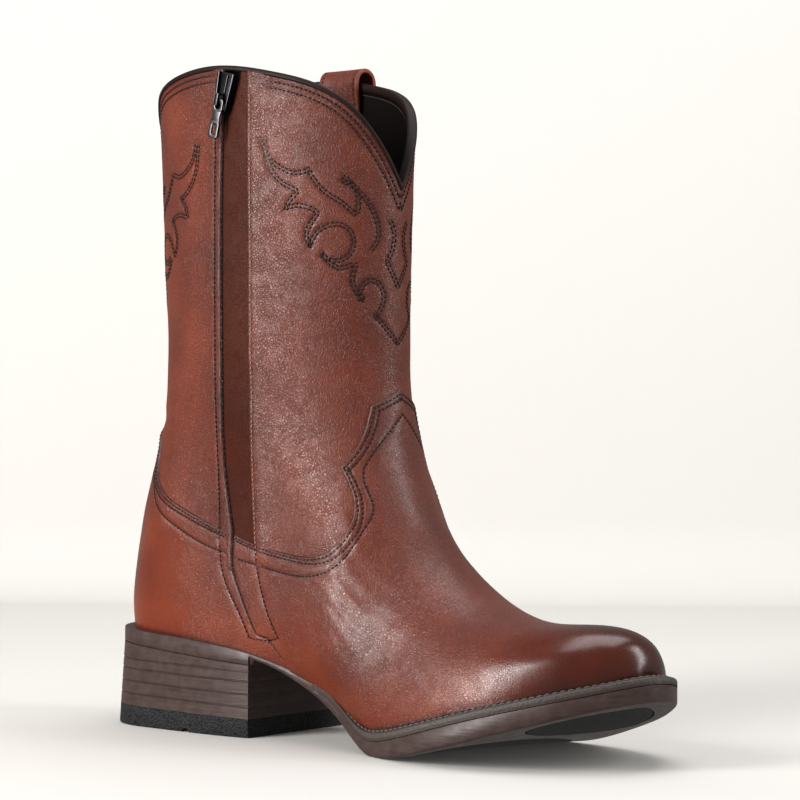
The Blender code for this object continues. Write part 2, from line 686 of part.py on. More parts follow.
def make_binding(finish):
    """The folded tape over the collar's edge."""
    turns = np.arange(UPPER_COLUMNS) / UPPER_COLUMNS
    collar = collar_level(turns)
    steepness = (np.roll(collar, -1) - np.roll(collar, 1)) / (2 * COLUMN_SPACING)
    drop = BINDING_DEPTH * np.minimum(np.sqrt(1 + steepness ** 2), STEEPEST)
    outside = GAP + BINDING_THICKNESS
    inside = -WALL - outside
    section = (
        (GAP, -drop), (outside, -drop), (outside, outside), (inside, outside),
        (inside, -drop), (-WALL - GAP, -drop), (-WALL - GAP, GAP), (GAP, GAP),
    )
    grid = []
    for offset, rise in section:
        lift = np.broadcast_to(rise, collar.shape)
        edge = FORM.at(turns, collar + np.minimum(lift, 0), offset)
        edge[:, 2] += np.maximum(lift, 0)
        grid.append(edge)
    points = np.stack(grid, axis=1)
    sides = len(section)
    faces = []
    for i in range(UPPER_COLUMNS):
        for j in range(sides):
            k = (j + 1) % sides
            a, b = i * sides, (i + 1) % UPPER_COLUMNS * sides
            faces.append((a + j, b + j, b + k, a + k))
    add_object("collar_binding", points.reshape(-1, 3), faces, finish)


# distance outside the upper's face, height over the collar: the middle of the loop's strap
LOOP_ROUTE = (
    (-4.0, -42.0), (-4.0, -28.0), (-4.4, -16.0), (-5.2, -7.0), (-5.7, -0.8), (-4.4, 3.5),
    (-1.3, 5.6), (1.8, 5.2), (4.3, 2.6), (5.0, -2.0), (4.3, -8.0), (2.9, -15.0), (1.6, -23.0),
    (1.5, -32.0), (1.5, -42.0),
)
LOOP_X = 88.5
LOOP_EDGE_Z = 297.5


def make_pull_loop(finish):
    """A strap sewn inside and outside the outer side of the collar, arched over its edge."""
    route = np.array(LOOP_ROUTE)
    run = np.r_[0, np.cumsum(np.linalg.norm(np.diff(route, axis=0), axis=1))]
    path = natural_spline(run, route, np.linspace(0, run[-1], 26))
    ahead = np.gradient(path, axis=0)
    ahead /= np.linalg.norm(ahead, axis=1)[:, None]
    outward = np.stack([-ahead[:, 1], ahead[:, 0]], axis=1)
    sheets = []
    for face in (-1, 1):
        line = path + outward * face * LOOP_THICKNESS / 2
        rows = []
        for offset, rise in line:
            row = []
            for x in np.linspace(LOOP_X - LOOP_WIDTH / 2, LOOP_X + LOOP_WIDTH / 2, 5):
                turn, level = FORM.spot(x, LOOP_EDGE_Z, LATERAL)
                point = FORM.at(turn, level + min(rise, 0), offset)
                point[2] += max(rise, 0)
                row.append(point)
            rows.append(row)
        sheets.append(np.array(rows))
    sheet_solid("pull_loop", sheets[0], sheets[1], finish)


# The zip's slider and pull, in a frame of their own: across, along (up), out from the leather
SLIDER_AT = (84.3, 283.5)
SLIDER_TILT = 14.0
SLIDER_OUT = 1.8
SLIDER_THICKNESS = 2.6
CROWN_WIDTH = 1.4
PULL_WIDTH = 6.0
PULL_THICKNESS = 1.1
PULL_LENGTH = 17.0
PIN_OUT = SLIDER_OUT + SLIDER_THICKNESS + 1.0


def slider_frame():
    """Origin and axes of the slider, set on the leather and tilted with the zip's end."""
    turn, level = FORM.spot(*SLIDER_AT, MEDIAL)
    origin = FORM.at(turn, level)
    out = FORM.at(turn, level, 1.0) - origin
    up = np.array([0.0, 0.0, 1.0])
    up = up - out * (up @ out)
    up /= np.linalg.norm(up)
    across = np.cross(up, out)
    tilt = np.radians(SLIDER_TILT)
    along = up * np.cos(tilt) + across * np.sin(tilt)
    return origin, np.cross(along, out), along, out


def slab(name, outline_points, low, high, finish, frame, plane="across_along"):
    """A prism in the slider's frame, over an outline in one of its planes."""
    origin, across, along, out = frame
    axes = (across, along, out) if plane == "across_along" else (along, out, across)
    count = len(outline_points)
    points = []
    for height in (low, high):
        for a, b in outline_points:
            points.append(origin + axes[0] * a + axes[1] * b + axes[2] * height)
    faces = [tuple(range(count)), tuple(range(2 * count - 1, count - 1, -1))]
    for i in range(count):
        j = (i + 1) % count
        faces.append((i, j, count + j, count + i))
    return add_object(name, points, faces, finish)


def rounded(width_low, width_high, bottom, top, steps=5):
    """An outline with half-round corners at both ends, wider at one than at the other."""
    points = []
    for centre_y, half, first in ((top, width_high, 0.0), (bottom, width_low, np.pi)):
        for t in np.linspace(first, first + np.pi, steps * 2):
            corner = 0.45 * half
            x = (half - corner) * np.sign(np.cos(t)) + corner * np.cos(t)
            shift = -corner if first == 0.0 else corner
            points.append((x, centre_y + shift + corner * np.sin(t)))
    return points


def make_slider(metal):
    """The slider's body, with the crown that the pull hangs from."""
    frame = slider_frame()
    body = slab("zip_slider", rounded(3.6, 5.0, -5.0, 12.5), SLIDER_OUT,
                SLIDER_OUT + SLIDER_THICKNESS, metal, frame)
    top = SLIDER_OUT + SLIDER_THICKNESS
    crown = ((-2.3, top - 0.5), (-2.3, top + 2.2), (-1.6, top + 2.9), (2.6, top + 2.9),
             (3.3, top + 2.2), (3.3, top - 0.5), (2.2, top - 0.5), (2.2, top + 1.9),
             (-1.2, top + 1.9), (-1.2, top - 0.5))
    half = CROWN_WIDTH / 2
    cut(body, slab("slider_crown", crown, -half, half, metal, frame, "along_out"), "UNION")


def make_pull(metal):
    """The pull tab: its top bar lies under the crown and is the pin that it turns on."""
    frame = slider_frame()
    origin, across, along, out = frame
    low = PIN_OUT - PULL_THICKNESS / 2
    high = PIN_OUT + PULL_THICKNESS / 2
    bar = PULL_THICKNESS / 2
    tab = slab("zip_pull", rounded(2.6, PULL_WIDTH / 2, -PULL_LENGTH, bar), low, high, metal, frame)
    eye = ((-1.6, -4.1), (1.6, -4.1), (1.6, -bar), (-1.6, -bar))
    cut(tab, slab("pull_eye", eye, low - 1, high + 1, metal, frame))
    slot = ((-1.2, -15.2), (1.2, -15.2), (1.2, -10.2), (-1.2, -10.2))
    cut(tab, slab("pull_slot", slot, low - 1, high + 1, metal, frame))
    pin = (origin + out * PIN_OUT - ORIGIN) * MM
    tab.data.transform(Matrix.Translation([-float(value) for value in pin]))
    tab.location = pin


def main():
    for item in list(bpy.data.objects):
        bpy.data.objects.remove(item, do_unlink=True)
    leather = material("chestnut leather", (0.24, 0.075, 0.035), 0.4)
    dark_leather = material("dark brown leather", (0.13, 0.045, 0.025), 0.45)
    sole = material("brown moulded sole", (0.07, 0.04, 0.035), 0.45)
    rubber = material("black rubber", (0.02, 0.02, 0.02), 0.8)
    fabric = material("tan footbed", (0.35, 0.22, 0.12), 0.8)
    metal = material("gunmetal", (0.12, 0.12, 0.13), 0.35, 1.0)
    outsole = make_outsole(sole)
    make_treads(outsole, rubber)
    make_heel(sole, rubber)
    make_welt(sole)
    make_insole(fabric)
    make_upper(leather)
    make_overlays(leather)
    make_zip_strips(dark_leather, metal)
    make_side_strip(leather)
    make_binding(dark_leather)
    make_pull_loop(leather)
    make_slider(metal)
    make_pull(metal)


main()
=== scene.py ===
import math

import bmesh
import bpy
import numpy as np
from mathutils import Matrix, Vector
from mathutils.geometry import delaunay_2d_cdt
from mathutils.kdtree import KDTree


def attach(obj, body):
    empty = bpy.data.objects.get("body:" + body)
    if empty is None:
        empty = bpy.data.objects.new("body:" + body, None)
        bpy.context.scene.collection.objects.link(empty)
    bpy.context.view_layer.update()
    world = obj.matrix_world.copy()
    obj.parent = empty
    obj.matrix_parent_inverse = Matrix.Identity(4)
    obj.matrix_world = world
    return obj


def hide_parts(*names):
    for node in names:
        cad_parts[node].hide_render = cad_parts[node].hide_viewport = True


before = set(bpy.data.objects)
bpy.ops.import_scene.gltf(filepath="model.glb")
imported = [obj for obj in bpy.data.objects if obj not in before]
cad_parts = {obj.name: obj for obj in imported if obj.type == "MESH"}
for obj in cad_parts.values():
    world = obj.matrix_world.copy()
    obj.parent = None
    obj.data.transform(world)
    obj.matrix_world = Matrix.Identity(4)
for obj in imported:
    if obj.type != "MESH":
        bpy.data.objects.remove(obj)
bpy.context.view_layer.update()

# STUDIO
# A pale floor that curves up into a backdrop, soft boxes at the left, at the right and above,
# and a long lens at the height of the ankle. Lengths are in millimetres, but the lamps' sizes
# and the depths of bumps are in metres, and the scales of textures are per metre.
MM = 0.001
ORIGIN = np.array([145.05, 2.72739, 0.0])
CAMERA_TURN = math.radians(39.5)
CAMERA_FORWARD = 1271.6
CAMERA_SIDE = 117.93
CAMERA_HEIGHT = 154.0
FOCAL_LENGTH = 120.15
HORIZON_SHIFT = -7 / 800
CAMERA_ROLL = math.radians(0.3)
BACKDROP_AWAY, BACKDROP_TOP, BACKDROP_HALF = 720.0, 2600.0, 3500.0
FLOOR_NEAR, BEND = 3000.0, 60.0

right = Vector((math.cos(CAMERA_TURN), math.sin(CAMERA_TURN), 0))
toward = Vector((math.sin(CAMERA_TURN), -math.cos(CAMERA_TURN), 0))


def in_studio(across, near, height):
    """The frame's place, in metres, of a point in mm to the camera's right, toward it and up."""
    place = right * across + toward * near + Vector((0, 0, height))
    return (place - Vector(ORIGIN)) * MM


camera_data = bpy.data.cameras.new("camera")
camera = bpy.data.objects.new("camera", camera_data)
bpy.context.scene.collection.objects.link(camera)
axes = Matrix((right, Vector((0, 0, 1)), toward)).transposed()
camera.matrix_world = (Matrix.Translation(in_studio(CAMERA_SIDE, CAMERA_FORWARD, CAMERA_HEIGHT))
                       @ axes.to_4x4() @ Matrix.Rotation(CAMERA_ROLL, 4, "Z"))
camera_data.sensor_width = 36
camera_data.lens = FOCAL_LENGTH
camera_data.shift_y = HORIZON_SHIFT
camera_data.clip_start = 0.05
bpy.context.scene.camera = camera
bpy.context.scene.view_settings.view_transform = "Standard"
bpy.context.scene.view_settings.look = "Medium High Contrast"


def soft_box(name, across, near, height, aim_height, width, depth, energy, colour=(1, 1, 1)):
    lamp = bpy.data.lights.new(name, "AREA")
    lamp.shape = "RECTANGLE"
    lamp.size, lamp.size_y = width, depth
    lamp.energy = energy
    lamp.color = colour
    light = bpy.data.objects.new(name, lamp)
    bpy.context.scene.collection.objects.link(light)
    light.location = in_studio(across, near, height)
    aim = in_studio(CAMERA_SIDE, 0, aim_height) - light.location
    light.rotation_euler = aim.to_track_quat("-Z", "Y").to_euler()


soft_box("key", -1000, 740, 520, 210, 0.5, 1.2, 22, (1.0, 0.985, 0.97))
soft_box("right strip", 1250, 380, 560, 220, 0.4, 1.1, 7)
soft_box("top", 300, 60, 1250, 40, 1.0, 0.8, 6.5, (0.97, 0.98, 1.0))

world = bpy.data.worlds.new("studio")
world.use_nodes = True
world.node_tree.nodes["Background"].inputs["Color"].default_value = (1.0, 0.985, 0.96, 1)
world.node_tree.nodes["Background"].inputs["Strength"].default_value = 0.26
bpy.context.scene.world = world


def new_material(name, base, roughness, metallic=0.0, specular=0.5):
    """A material with its Principled shader set, and its node tree for what is added."""
    made = bpy.data.materials.new(name)
    made.use_nodes = True
    shader = made.node_tree.nodes["Principled BSDF"]
    shader.inputs["Base Color"].default_value = (*base, 1)
    shader.inputs["Roughness"].default_value = roughness
    shader.inputs["Metallic"].default_value = metallic
    shader.inputs["Specular IOR Level"].default_value = specular
    return made, made.node_tree, shader


def node(tree, kind, inputs=None, **settings):
    """A node in a tree; inputs are numbers, colours or other nodes' sockets."""
    made = tree.nodes.new(kind)
    for name, value in settings.items():
        setattr(made, name, value)
    for name, value in (inputs or {}).items():
        if isinstance(value, bpy.types.NodeSocket):
            tree.links.new(value, made.inputs[name])
        else:
            made.inputs[name].default_value = value
    return made


def mixed(tree, factor, a, b):
    """A colour mixed from two, each of them a constant or a socket."""
    colours = {label: value if isinstance(value, bpy.types.NodeSocket) else (*value, 1)
               for label, value in (("A", a), ("B", b))}
    made = node(tree, "ShaderNodeMix", {"Factor": factor, **colours}, data_type="RGBA")
    return made.outputs["Result"]


def noise(tree, scale, detail, **inputs):
    made = node(tree, "ShaderNodeTexNoise", {"Scale": scale, "Detail": detail, **inputs})
    return made.outputs["Fac"]


studio_paper, tree, shader = new_material("studio paper", (0.68, 0.665, 0.64), 0.9, specular=0.0)
shade = mixed(tree, noise(tree, 3.0, 2.0), (0.665, 0.652, 0.628), (0.685, 0.672, 0.65))
tree.links.new(shade, shader.inputs["Base Color"])
shader.inputs["Emission Color"].default_value = (1.0, 0.975, 0.94, 1)
shader.inputs["Emission Strength"].default_value = 0.03
profile = [(near, 0.0) for near in np.linspace(FLOOR_NEAR, -BACKDROP_AWAY + BEND, 12)]
profile += [(-BACKDROP_AWAY + BEND - BEND * math.sin(t), BEND - BEND * math.cos(t))
            for t in np.linspace(0.1, math.pi / 2, 12)]
profile += [(-BACKDROP_AWAY, z) for z in np.linspace(2 * BEND, BACKDROP_TOP, 8)]
points = [tuple(in_studio(across, near, z)) for near, z in profile
          for across in (-BACKDROP_HALF, BACKDROP_HALF)]
faces = [(2 * i, 2 * i + 1, 2 * i + 3, 2 * i + 2) for i in range(len(profile) - 1)]
paper_mesh = bpy.data.meshes.new("backdrop")
paper_mesh.from_pydata(points, [], faces)
paper_mesh.shade_smooth()
paper_mesh.materials.append(studio_paper)
backdrop = bpy.data.objects.new("backdrop", paper_mesh)
backdrop.visible_glossy = False
bpy.context.scene.collection.objects.link(backdrop)

# THE LAST
# The wooden form that the leather is drawn over, in the same sizes as the solids: the sole's
# plan and the loops of the upper give the place of every point by (turn, level).
# 'turn' runs from 0 at the back over the inner side to 0.5 at the front; 'level' is mm up.
SOLE_LENGTH = 292.5
HEEL_LENGTH = 93.0
GIRTH = 350.0
# x, inner and outer half width of the sole
SOLE_PLAN = np.array((
    (0, 33.4, 33.4), (33, 33.4, 33.6), (62, 34.6, 36.0), (92, 32.8, 36.0), (118, 28.0, 36.0),
    (142, 30.5, 41.0), (166, 40.0, 48.0), (190, 47.5, 53.0), (212, 49.0, 54.5), (234, 46.4, 52.0),
    (255, 39.5, 45.2), (271, 32.4, 39.0), (282, 27.5, 34.6), (292.5, 23.8, 31.2)))
# x and height: the sole's upper face, its lower face over the heel, and in front of the heel
SOLE_TOP = np.array((
    (0, 45.4), (30, 43.6), (50, 42.6), (76, 40.4), (92, 38.0), (104, 34.8), (116, 31.0), (130, 26.0),
    (143, 20.0), (155, 13.8), (166, 10.0), (178, 10.4), (192, 13.4), (217, 20.2), (240, 26.6),
    (259, 32.0), (275, 36.9), (292.5, 43.0)))
SEAT_BOTTOM = np.array(((0, 38.6), (50, 35.0), (93, 32.2)))
SOLE_BOTTOM = np.array((
    (93, 35.4), (104, 32.2), (112, 28.8), (120, 25.0), (130, 20.0), (142, 13.6), (151, 8.4),
    (159, 4.0), (166, 0.9), (173, -0.4), (180, 0.0), (188, 1.2), (200, 3.9), (219, 8.9),
    (240, 15.3), (259, 21.4), (275, 27.0), (292.5, 32.6)))
# x, inner and outer half width of the upper where it is widest
BODY_WIDTH = np.array((
    (0, 29.5, 29.5), (30, 31.0, 31.0), (62, 33.2, 33.2), (92, 34.5, 35.0), (118, 36.5, 38.0),
    (142, 40.5, 43.0), (166, 44.0, 47.0), (190, 44.5, 49.0), (212, 43.5, 48.5), (234, 40.0, 45.0),
    (256, 33.5, 37.5), (272, 25.0, 27.0)))
# x and how far the upper's foot stands in from the sole's edge
LEDGE = np.array(((0, 4.6), (60, 4.0), (95, 2.5), (125, 1.5), (165, 4.5), (200, 6.0), (292.5, 6.0)))
# back x and z, front x and z, how far the loop follows the sole, share of the oval, half width
LAST_LOOPS = np.array((
    (2.0, 46.0, 284.0, 43.0, 1.00, 0.00, 34.0),
    (1.4, 56.0, 284.6, 48.1, 1.00, 0.00, 34.0),
    (2.0, 64.0, 282.5, 54.1, 0.90, 0.00, 34.0),
    (3.3, 72.5, 274.5, 59.2, 0.80, 0.00, 34.0),
    (4.8, 81.0, 257.0, 60.7, 0.68, 0.00, 34.0),
    (6.6, 90.0, 236.0, 60.3, 0.55, 0.00, 34.0),
    (8.6, 99.5, 214.0, 63.9, 0.42, 0.00, 34.0),
    (11.0, 109.0, 192.6, 72.5, 0.30, 0.06, 34.0),
    (13.8, 119.0, 175.6, 87.0, 0.20, 0.18, 34.4),
    (16.6, 130.5, 163.8, 105.5, 0.10, 0.40, 35.0),
    (18.9, 144.5, 156.4, 125.0, 0.03, 0.68, 36.0),
    (20.0, 163.0, 152.6, 150.0, 0.00, 0.92, 36.8),
    (19.9, 188.0, 151.2, 180.0, 0.00, 1.00, 37.3),
    (18.3, 222.0, 151.8, 218.0, 0.00, 1.00, 37.9),
    (15.8, 262.0, 153.2, 262.0, 0.00, 1.00, 38.4),
    (12.8, 308.0, 155.0, 308.0, 0.00, 1.00, 38.8)))
HEEL_ROUND_PLAN = (33.0, 2.5)
TOE_ROUND_PLAN = (34.0, 2.05)
HEEL_ROUND = (33.0, 2.0)
TOE_ROUND = (26.0, 2.0)
TOE_TIP = 285.2
# the sole's rim rises toward the upper in front of the waist
RIM_GAP, RIM_HEIGHT, RIM_FROM, RIM_TO = 0.4, 2.4, 150.0, 175.0
INNER, OUTER = 0, 1
SIDE_SIGN = (-1, 1)
FOREFOOT_LEAN, LEAN_FROM, LEAN_TO, SPRING_FROM = 8.0, -45.0, 54.5, 173.0
# how fast the upper widens over the feather line, and how its back is domed
SIDE_RISE, SIDE_POWER = 14.0, 1.2
DOME_BACK, DOME_MORE, DOME_FROM, DOME_TO, DOME_ROOT = 1.55, 0.75, 175.0, 235.0, 1.9


def spline(knots, values, at):
    """Values at the places 'at' on the smooth curve through the knots."""
    knots = np.asarray(knots, float)
    values = np.asarray(values, float)
    at = np.atleast_1d(np.asarray(at, float))
    count = len(knots)
    table = values.reshape(count, -1)
    step = np.diff(knots)
    matrix = np.eye(count)
    turned = np.zeros_like(table)
    for i in range(1, count - 1):
        matrix[i, i - 1:i + 2] = (step[i - 1], 2 * (step[i - 1] + step[i]), step[i])
        turned[i] = 6 * ((table[i + 1] - table[i]) / step[i] - (table[i] - table[i - 1]) / step[i - 1])
    bend = np.linalg.solve(matrix, turned)
    i = np.clip(np.searchsorted(knots, at, side="right") - 1, 0, count - 2)
    after, before, h = (at - knots[i])[:, None], (knots[i + 1] - at)[:, None], step[i][:, None]
    curve = (bend[i] * before ** 3 + bend[i + 1] * after ** 3) / (6 * h)
    curve += (table[i] / h - bend[i] * h / 6) * before
    curve += (table[i + 1] / h - bend[i + 1] * h / 6) * after
    return curve.reshape((len(at),) + values.shape[1:])


def read(table, column, place):
    return spline(table[:, 0], table[:, column], np.clip(place, table[0, 0], table[-1, 0]))


def rounding(distance, length, power):
    share = np.clip(np.asarray(distance, float) / length, 0, 1)
    return (1 - (1 - share) ** power) ** (1 / power)


def fade(value, start, end):
    """0 up to the start, and evenly up to 1 at the end and beyond it."""
    return np.clip((np.asarray(value, float) - start) / (end - start), 0, 1)


def sole_top(x):
    return read(SOLE_TOP, 1, x)


def sole_bottom(x):
    in_front = np.maximum(read(SOLE_BOTTOM, 1, x), 0.0)
    return np.where(np.asarray(x, float) <= HEEL_LENGTH + 0.01, read(SEAT_BOTTOM, 1, x), in_front)


def lean(points):
    """The forefoot leans to its outer side: there the toe spring starts further forward."""
    points = np.array(points, float)
    x, y = points[:, 0], points[:, 1]
    spring = np.where(x > SPRING_FROM, np.maximum(read(SOLE_BOTTOM, 1, x), 0.0), 0.0)
    drop = spring / (1 + (spring / FOREFOOT_LEAN) ** 4) ** 0.25
    points[:, 2] -= drop * (y - LEAN_FROM) / (LEAN_TO - LEAN_FROM)
    return points


def rim_rise(x):
    return RIM_HEIGHT * fade(x, RIM_FROM, RIM_TO)


def sole_side(x, side):
    ends = rounding(x, *HEEL_ROUND_PLAN) * rounding(SOLE_LENGTH - x, *TOE_ROUND_PLAN)
    return read(SOLE_PLAN, 1 + side, x) * ends


loop_steps = np.diff(LAST_LOOPS[:, :4], axis=0)
LEVELS = np.r_[0, np.cumsum((np.hypot(loop_steps[:, 0], loop_steps[:, 1])
                             + np.hypot(loop_steps[:, 2], loop_steps[:, 3])) / 2)]


def ridge_height(x):
    fine = spline(LEVELS, LAST_LOOPS[:, 2:4], np.linspace(0, LEVELS[-1], 600))
    low = fine[fine[:, 1] < 150.0][::-1]
    front = np.maximum.accumulate(low[:, 0])
    return np.interp(x, front, low[:, 1]) + 4.0 * np.clip(front[0] - x, 0, None)


def run_along(points):
    """The length of a line up to each of its points."""
    return np.r_[0, np.cumsum(np.linalg.norm(np.diff(points, axis=0), axis=1))]


def at_lengths(at, run, values):
    """A line's values at one length or at several, 'run' being its length up to each."""
    return np.stack([np.interp(at, run, column) for column in np.asarray(values).T], axis=-1)


def half_loop(number, side, count):
    """One side of a loop round the last, from the back to the front, in even steps."""
    back_x, back_z, front_x, front_z, follow, oval, oval_half = LAST_LOOPS[number]
    angle = np.linspace(0, np.pi, 1441)
    share = (1 - np.cos(angle)) / 2
    x = back_x + (front_x - back_x) * share
    floor = sole_top(x) + rim_rise(x) + RIM_GAP
    if number == 0:
        z, dome = floor, 1.0
    else:
        z = back_z + (front_z - back_z) * share
        z = z + follow * (floor - floor[0] - (floor[-1] - floor[0]) * share)
        climb = np.clip((z - floor) / (ridge_height(x) - floor), 0, 1)
        power = DOME_BACK + DOME_MORE * fade(x, DOME_FROM, DOME_TO)
        dome = (1 - climb ** power) ** (1 / DOME_ROOT)
    base = read(SOLE_PLAN, 1 + side, x) - read(LEDGE, 1, x)
    body = read(BODY_WIDTH, 1 + side, x)
    rise = np.clip(z - floor, 0, None) / SIDE_RISE
    width = base + (body - base) * (1 - np.exp(-rise ** SIDE_POWER))
    ends = rounding(x - back_x, *HEEL_ROUND) * rounding(TOE_TIP - x, *TOE_ROUND)
    y = (1 - oval) * width * ends * dome + oval * oval_half * np.sin(angle)
    y[[0, -1]] = 0
    loop = np.stack([x, y * SIDE_SIGN[side], z], axis=1)
    run = run_along(loop)
    return at_lengths(np.linspace(0, run[-1], count), run, loop)


AROUND, ROWS = 1200, 500
TURNS = np.arange(AROUND) / AROUND
loops = []
for number in range(len(LAST_LOOPS)):
    outer_half = half_loop(number, OUTER, AROUND // 2 + 1)[::-1][1:-1]
    loops.append(np.r_[half_loop(number, INNER, AROUND // 2 + 1), outer_half])
ROW_LEVELS = np.linspace(0, LEVELS[-1], ROWS)
FACE = spline(LEVELS, np.array(loops), ROW_LEVELS)
# the ripple between the loops is evened out on the foot, and nothing else is touched
EVEN_ROWS = 12
offsets = np.arange(-3 * EVEN_ROWS, 3 * EVEN_ROWS + 1)
blur = np.exp(-(offsets / EVEN_ROWS) ** 2 / 2)
blur /= blur.sum()
even = np.zeros_like(FACE)
for offset, share in zip(offsets, blur):
    even += share * FACE[np.clip(np.arange(ROWS) + offset, 0, ROWS - 1)]
evened = fade(ROW_LEVELS, 22.0, 42.0) * fade(ROW_LEVELS, 130.0, 105.0)
on_foot = fade(np.abs(TURNS - 0.5), 0.26, 0.20)
behind_toe = fade(FACE[:, :, 0], 222.0, 192.0)
FACE += (even - FACE) * (evened[:, None] * on_foot[None, :] * behind_toe)[:, :, None]
NORMAL = np.cross(np.roll(FACE, -3, axis=1) - np.roll(FACE, 3, axis=1), np.gradient(FACE, axis=0))
NORMAL /= np.linalg.norm(NORMAL, axis=2)[:, :, None]
girth = np.linalg.norm(np.roll(FACE, -1, axis=1) - FACE, axis=2)
FROM_BACK = np.cumsum(girth, axis=1) - girth


def on_grid(grid, turn, level):
    """The values of a grid over the last at (turn, level) places."""
    turn, level = np.broadcast_arrays(np.asarray(turn, float), np.asarray(level, float))
    column = (turn % 1.0) * AROUND
    left = np.floor(column).astype(int)
    a = column - left
    row = np.clip(level / LEVELS[-1] * (ROWS - 1), 0, ROWS - 1.001)
    low = np.floor(row).astype(int)
    b = row - low
    if grid.ndim == 3:
        a, b = a[..., None], b[..., None]
    l, r = left % AROUND, (left + 1) % AROUND
    return ((grid[low, l] * (1 - a) + grid[low, r] * a) * (1 - b)
            + (grid[low + 1, l] * (1 - a) + grid[low + 1, r] * a) * b)


# Folds and hollows that the leather has taken: turn, level, direction in degrees, length and
# width in mm, height in mm (a hollow is negative)
FOLDS = (
    (0.372, 74, -30, 60, 26.0, -0.6), (0.628, 74, 30, 60, 26.0, -0.6), (0.50, 96, 0, 40, 14.0, -0.4),
    (0.06, 126, 35, 22, 5.0, 0.6), (0.075, 136, 30, 24, 5.0, -0.6), (0.10, 146, 28, 22, 5.0, 0.5),
    (0.94, 126, -35, 22, 5.0, 0.6), (0.925, 136, -30, 24, 5.0, -0.6), (0.90, 146, -28, 22, 5.0, 0.5),
    (0.33, 150, -25, 30, 9.0, -0.5), (0.36, 164, -20, 34, 8.0, 0.45), (0.40, 178, -12, 30, 9.0, -0.4),
    (0.14, 178, 8, 34, 12.0, -0.5), (0.10, 214, 12, 40, 14.0, 0.5), (0.34, 216, -6, 40, 15.0, -0.45),
    (0.66, 160, 22, 32, 9.0, -0.5), (0.62, 184, 12, 30, 9.0, 0.4), (0.84, 196, -10, 40, 14.0, -0.5),
)


def relief(turn, level):
    """Height of the folds over the last's face."""
    height = np.zeros(np.broadcast(turn, level).shape)
    for centre, at, slant, length, width, rise in FOLDS:
        across = ((turn - centre + 0.5) % 1.0 - 0.5) * GIRTH
        up = level - at
        c, s = math.cos(math.radians(slant)), math.sin(math.radians(slant))
        along, over = (across * c + up * s) / length, (up * c - across * s) / width
        height = height + rise * np.exp(-along ** 2 - over ** 2)
    return height


def on_last(places, offset=0.0):
    """Points in mm at (turn, level) places, lifted off the last's face by 'offset'."""
    places = np.asarray(places, float)
    turn, level = places[..., 0], places[..., 1]
    lift = np.asarray(offset, float) + relief(turn, level)
    return on_grid(FACE, turn, level) + on_grid(NORMAL, turn, level) * lift[..., None]


def level_at(turn, z):
    """The level at which the last's line at 'turn' reaches the height z."""
    turn, z = np.broadcast_arrays(np.asarray(turn, float), np.asarray(z, float))
    found = []
    for t, h in zip(turn.ravel(), z.ravel()):
        column = (t % 1.0) * AROUND
        left = int(column)
        a = column - left
        heights = FACE[:, left % AROUND, 2] * (1 - a) + FACE[:, (left + 1) % AROUND, 2] * a
        found.append(np.interp(h, heights, ROW_LEVELS))
    return np.array(found).reshape(turn.shape)


side_columns = np.arange(6, AROUND // 2 - 5, 6)


def spot(x, z, side):
    """The (turn, level) of the point that lies at x and z on one side of the last."""
    columns = side_columns if side == INNER else AROUND - side_columns
    levels = np.array([np.interp(z, FACE[:, c, 2], ROW_LEVELS) for c in columns])
    places = on_grid(FACE[:, :, 0], columns / AROUND, levels)
    turn = float(np.interp(x, places, columns / AROUND))
    return turn, float(level_at(turn, z))


def spot_from(start, distance, z):
    """The (turn, level) at a distance round the shaft from the turn 'start', at a height."""
    turn = start + distance / GIRTH
    for _ in range(3):
        level = float(level_at(turn, z))
        row = min(int(round(level / LEVELS[-1] * (ROWS - 1))), ROWS - 1)
        lengths = FROM_BACK[row] - FROM_BACK[row, int(start * AROUND)]
        turn = float(np.interp(distance, lengths, TURNS))
    return turn, level


def smooth_line(corners_in, step=0.9):
    """A line through (turn, level) places at even steps, smooth within each run of a list."""
    line = []
    for run in corners_in:
        run = np.asarray(run, float)
        if len(run) > 1:
            along = run_along(run * (GIRTH, 1.0))
            count = max(int(along[-1] / step), 2)
            fine = spline(along, run, np.linspace(0, along[-1], count * 4))
        else:
            fine = run
        line.append(fine if not line else fine[1:] if np.allclose(line[-1][-1], fine[0]) else fine)
    line = np.concatenate(line)
    run = run_along(on_grid(FACE, *line.T))
    even = np.linspace(0, run[-1], max(int(run[-1] / step), 2) + 1)
    return at_lengths(even, run, line)


def shifted(line, distance):
    """A line moved sideways over the last by a distance in mm, to its left as it runs."""
    ahead = np.gradient(line, axis=0)
    here = on_grid(FACE, line[:, 0], line[:, 1])
    per_turn = np.linalg.norm(on_grid(FACE, line[:, 0] + 0.001, line[:, 1]) - here, axis=1) / 0.001
    up = np.clip(line[:, 1] + 1.0, 0, LEVELS[-1] - 1)
    per_level = np.linalg.norm(on_grid(FACE, line[:, 0], up) - here, axis=1)
    per_level = np.clip(per_level, 0.3, 3.0)
    metric = np.stack([ahead[:, 0] * per_turn, ahead[:, 1] * per_level], axis=1)
    metric /= np.linalg.norm(metric, axis=1)[:, None] + 1e-9
    left = np.stack([-metric[:, 1] / per_turn, metric[:, 0] / per_level], axis=1)
    return line + left * distance


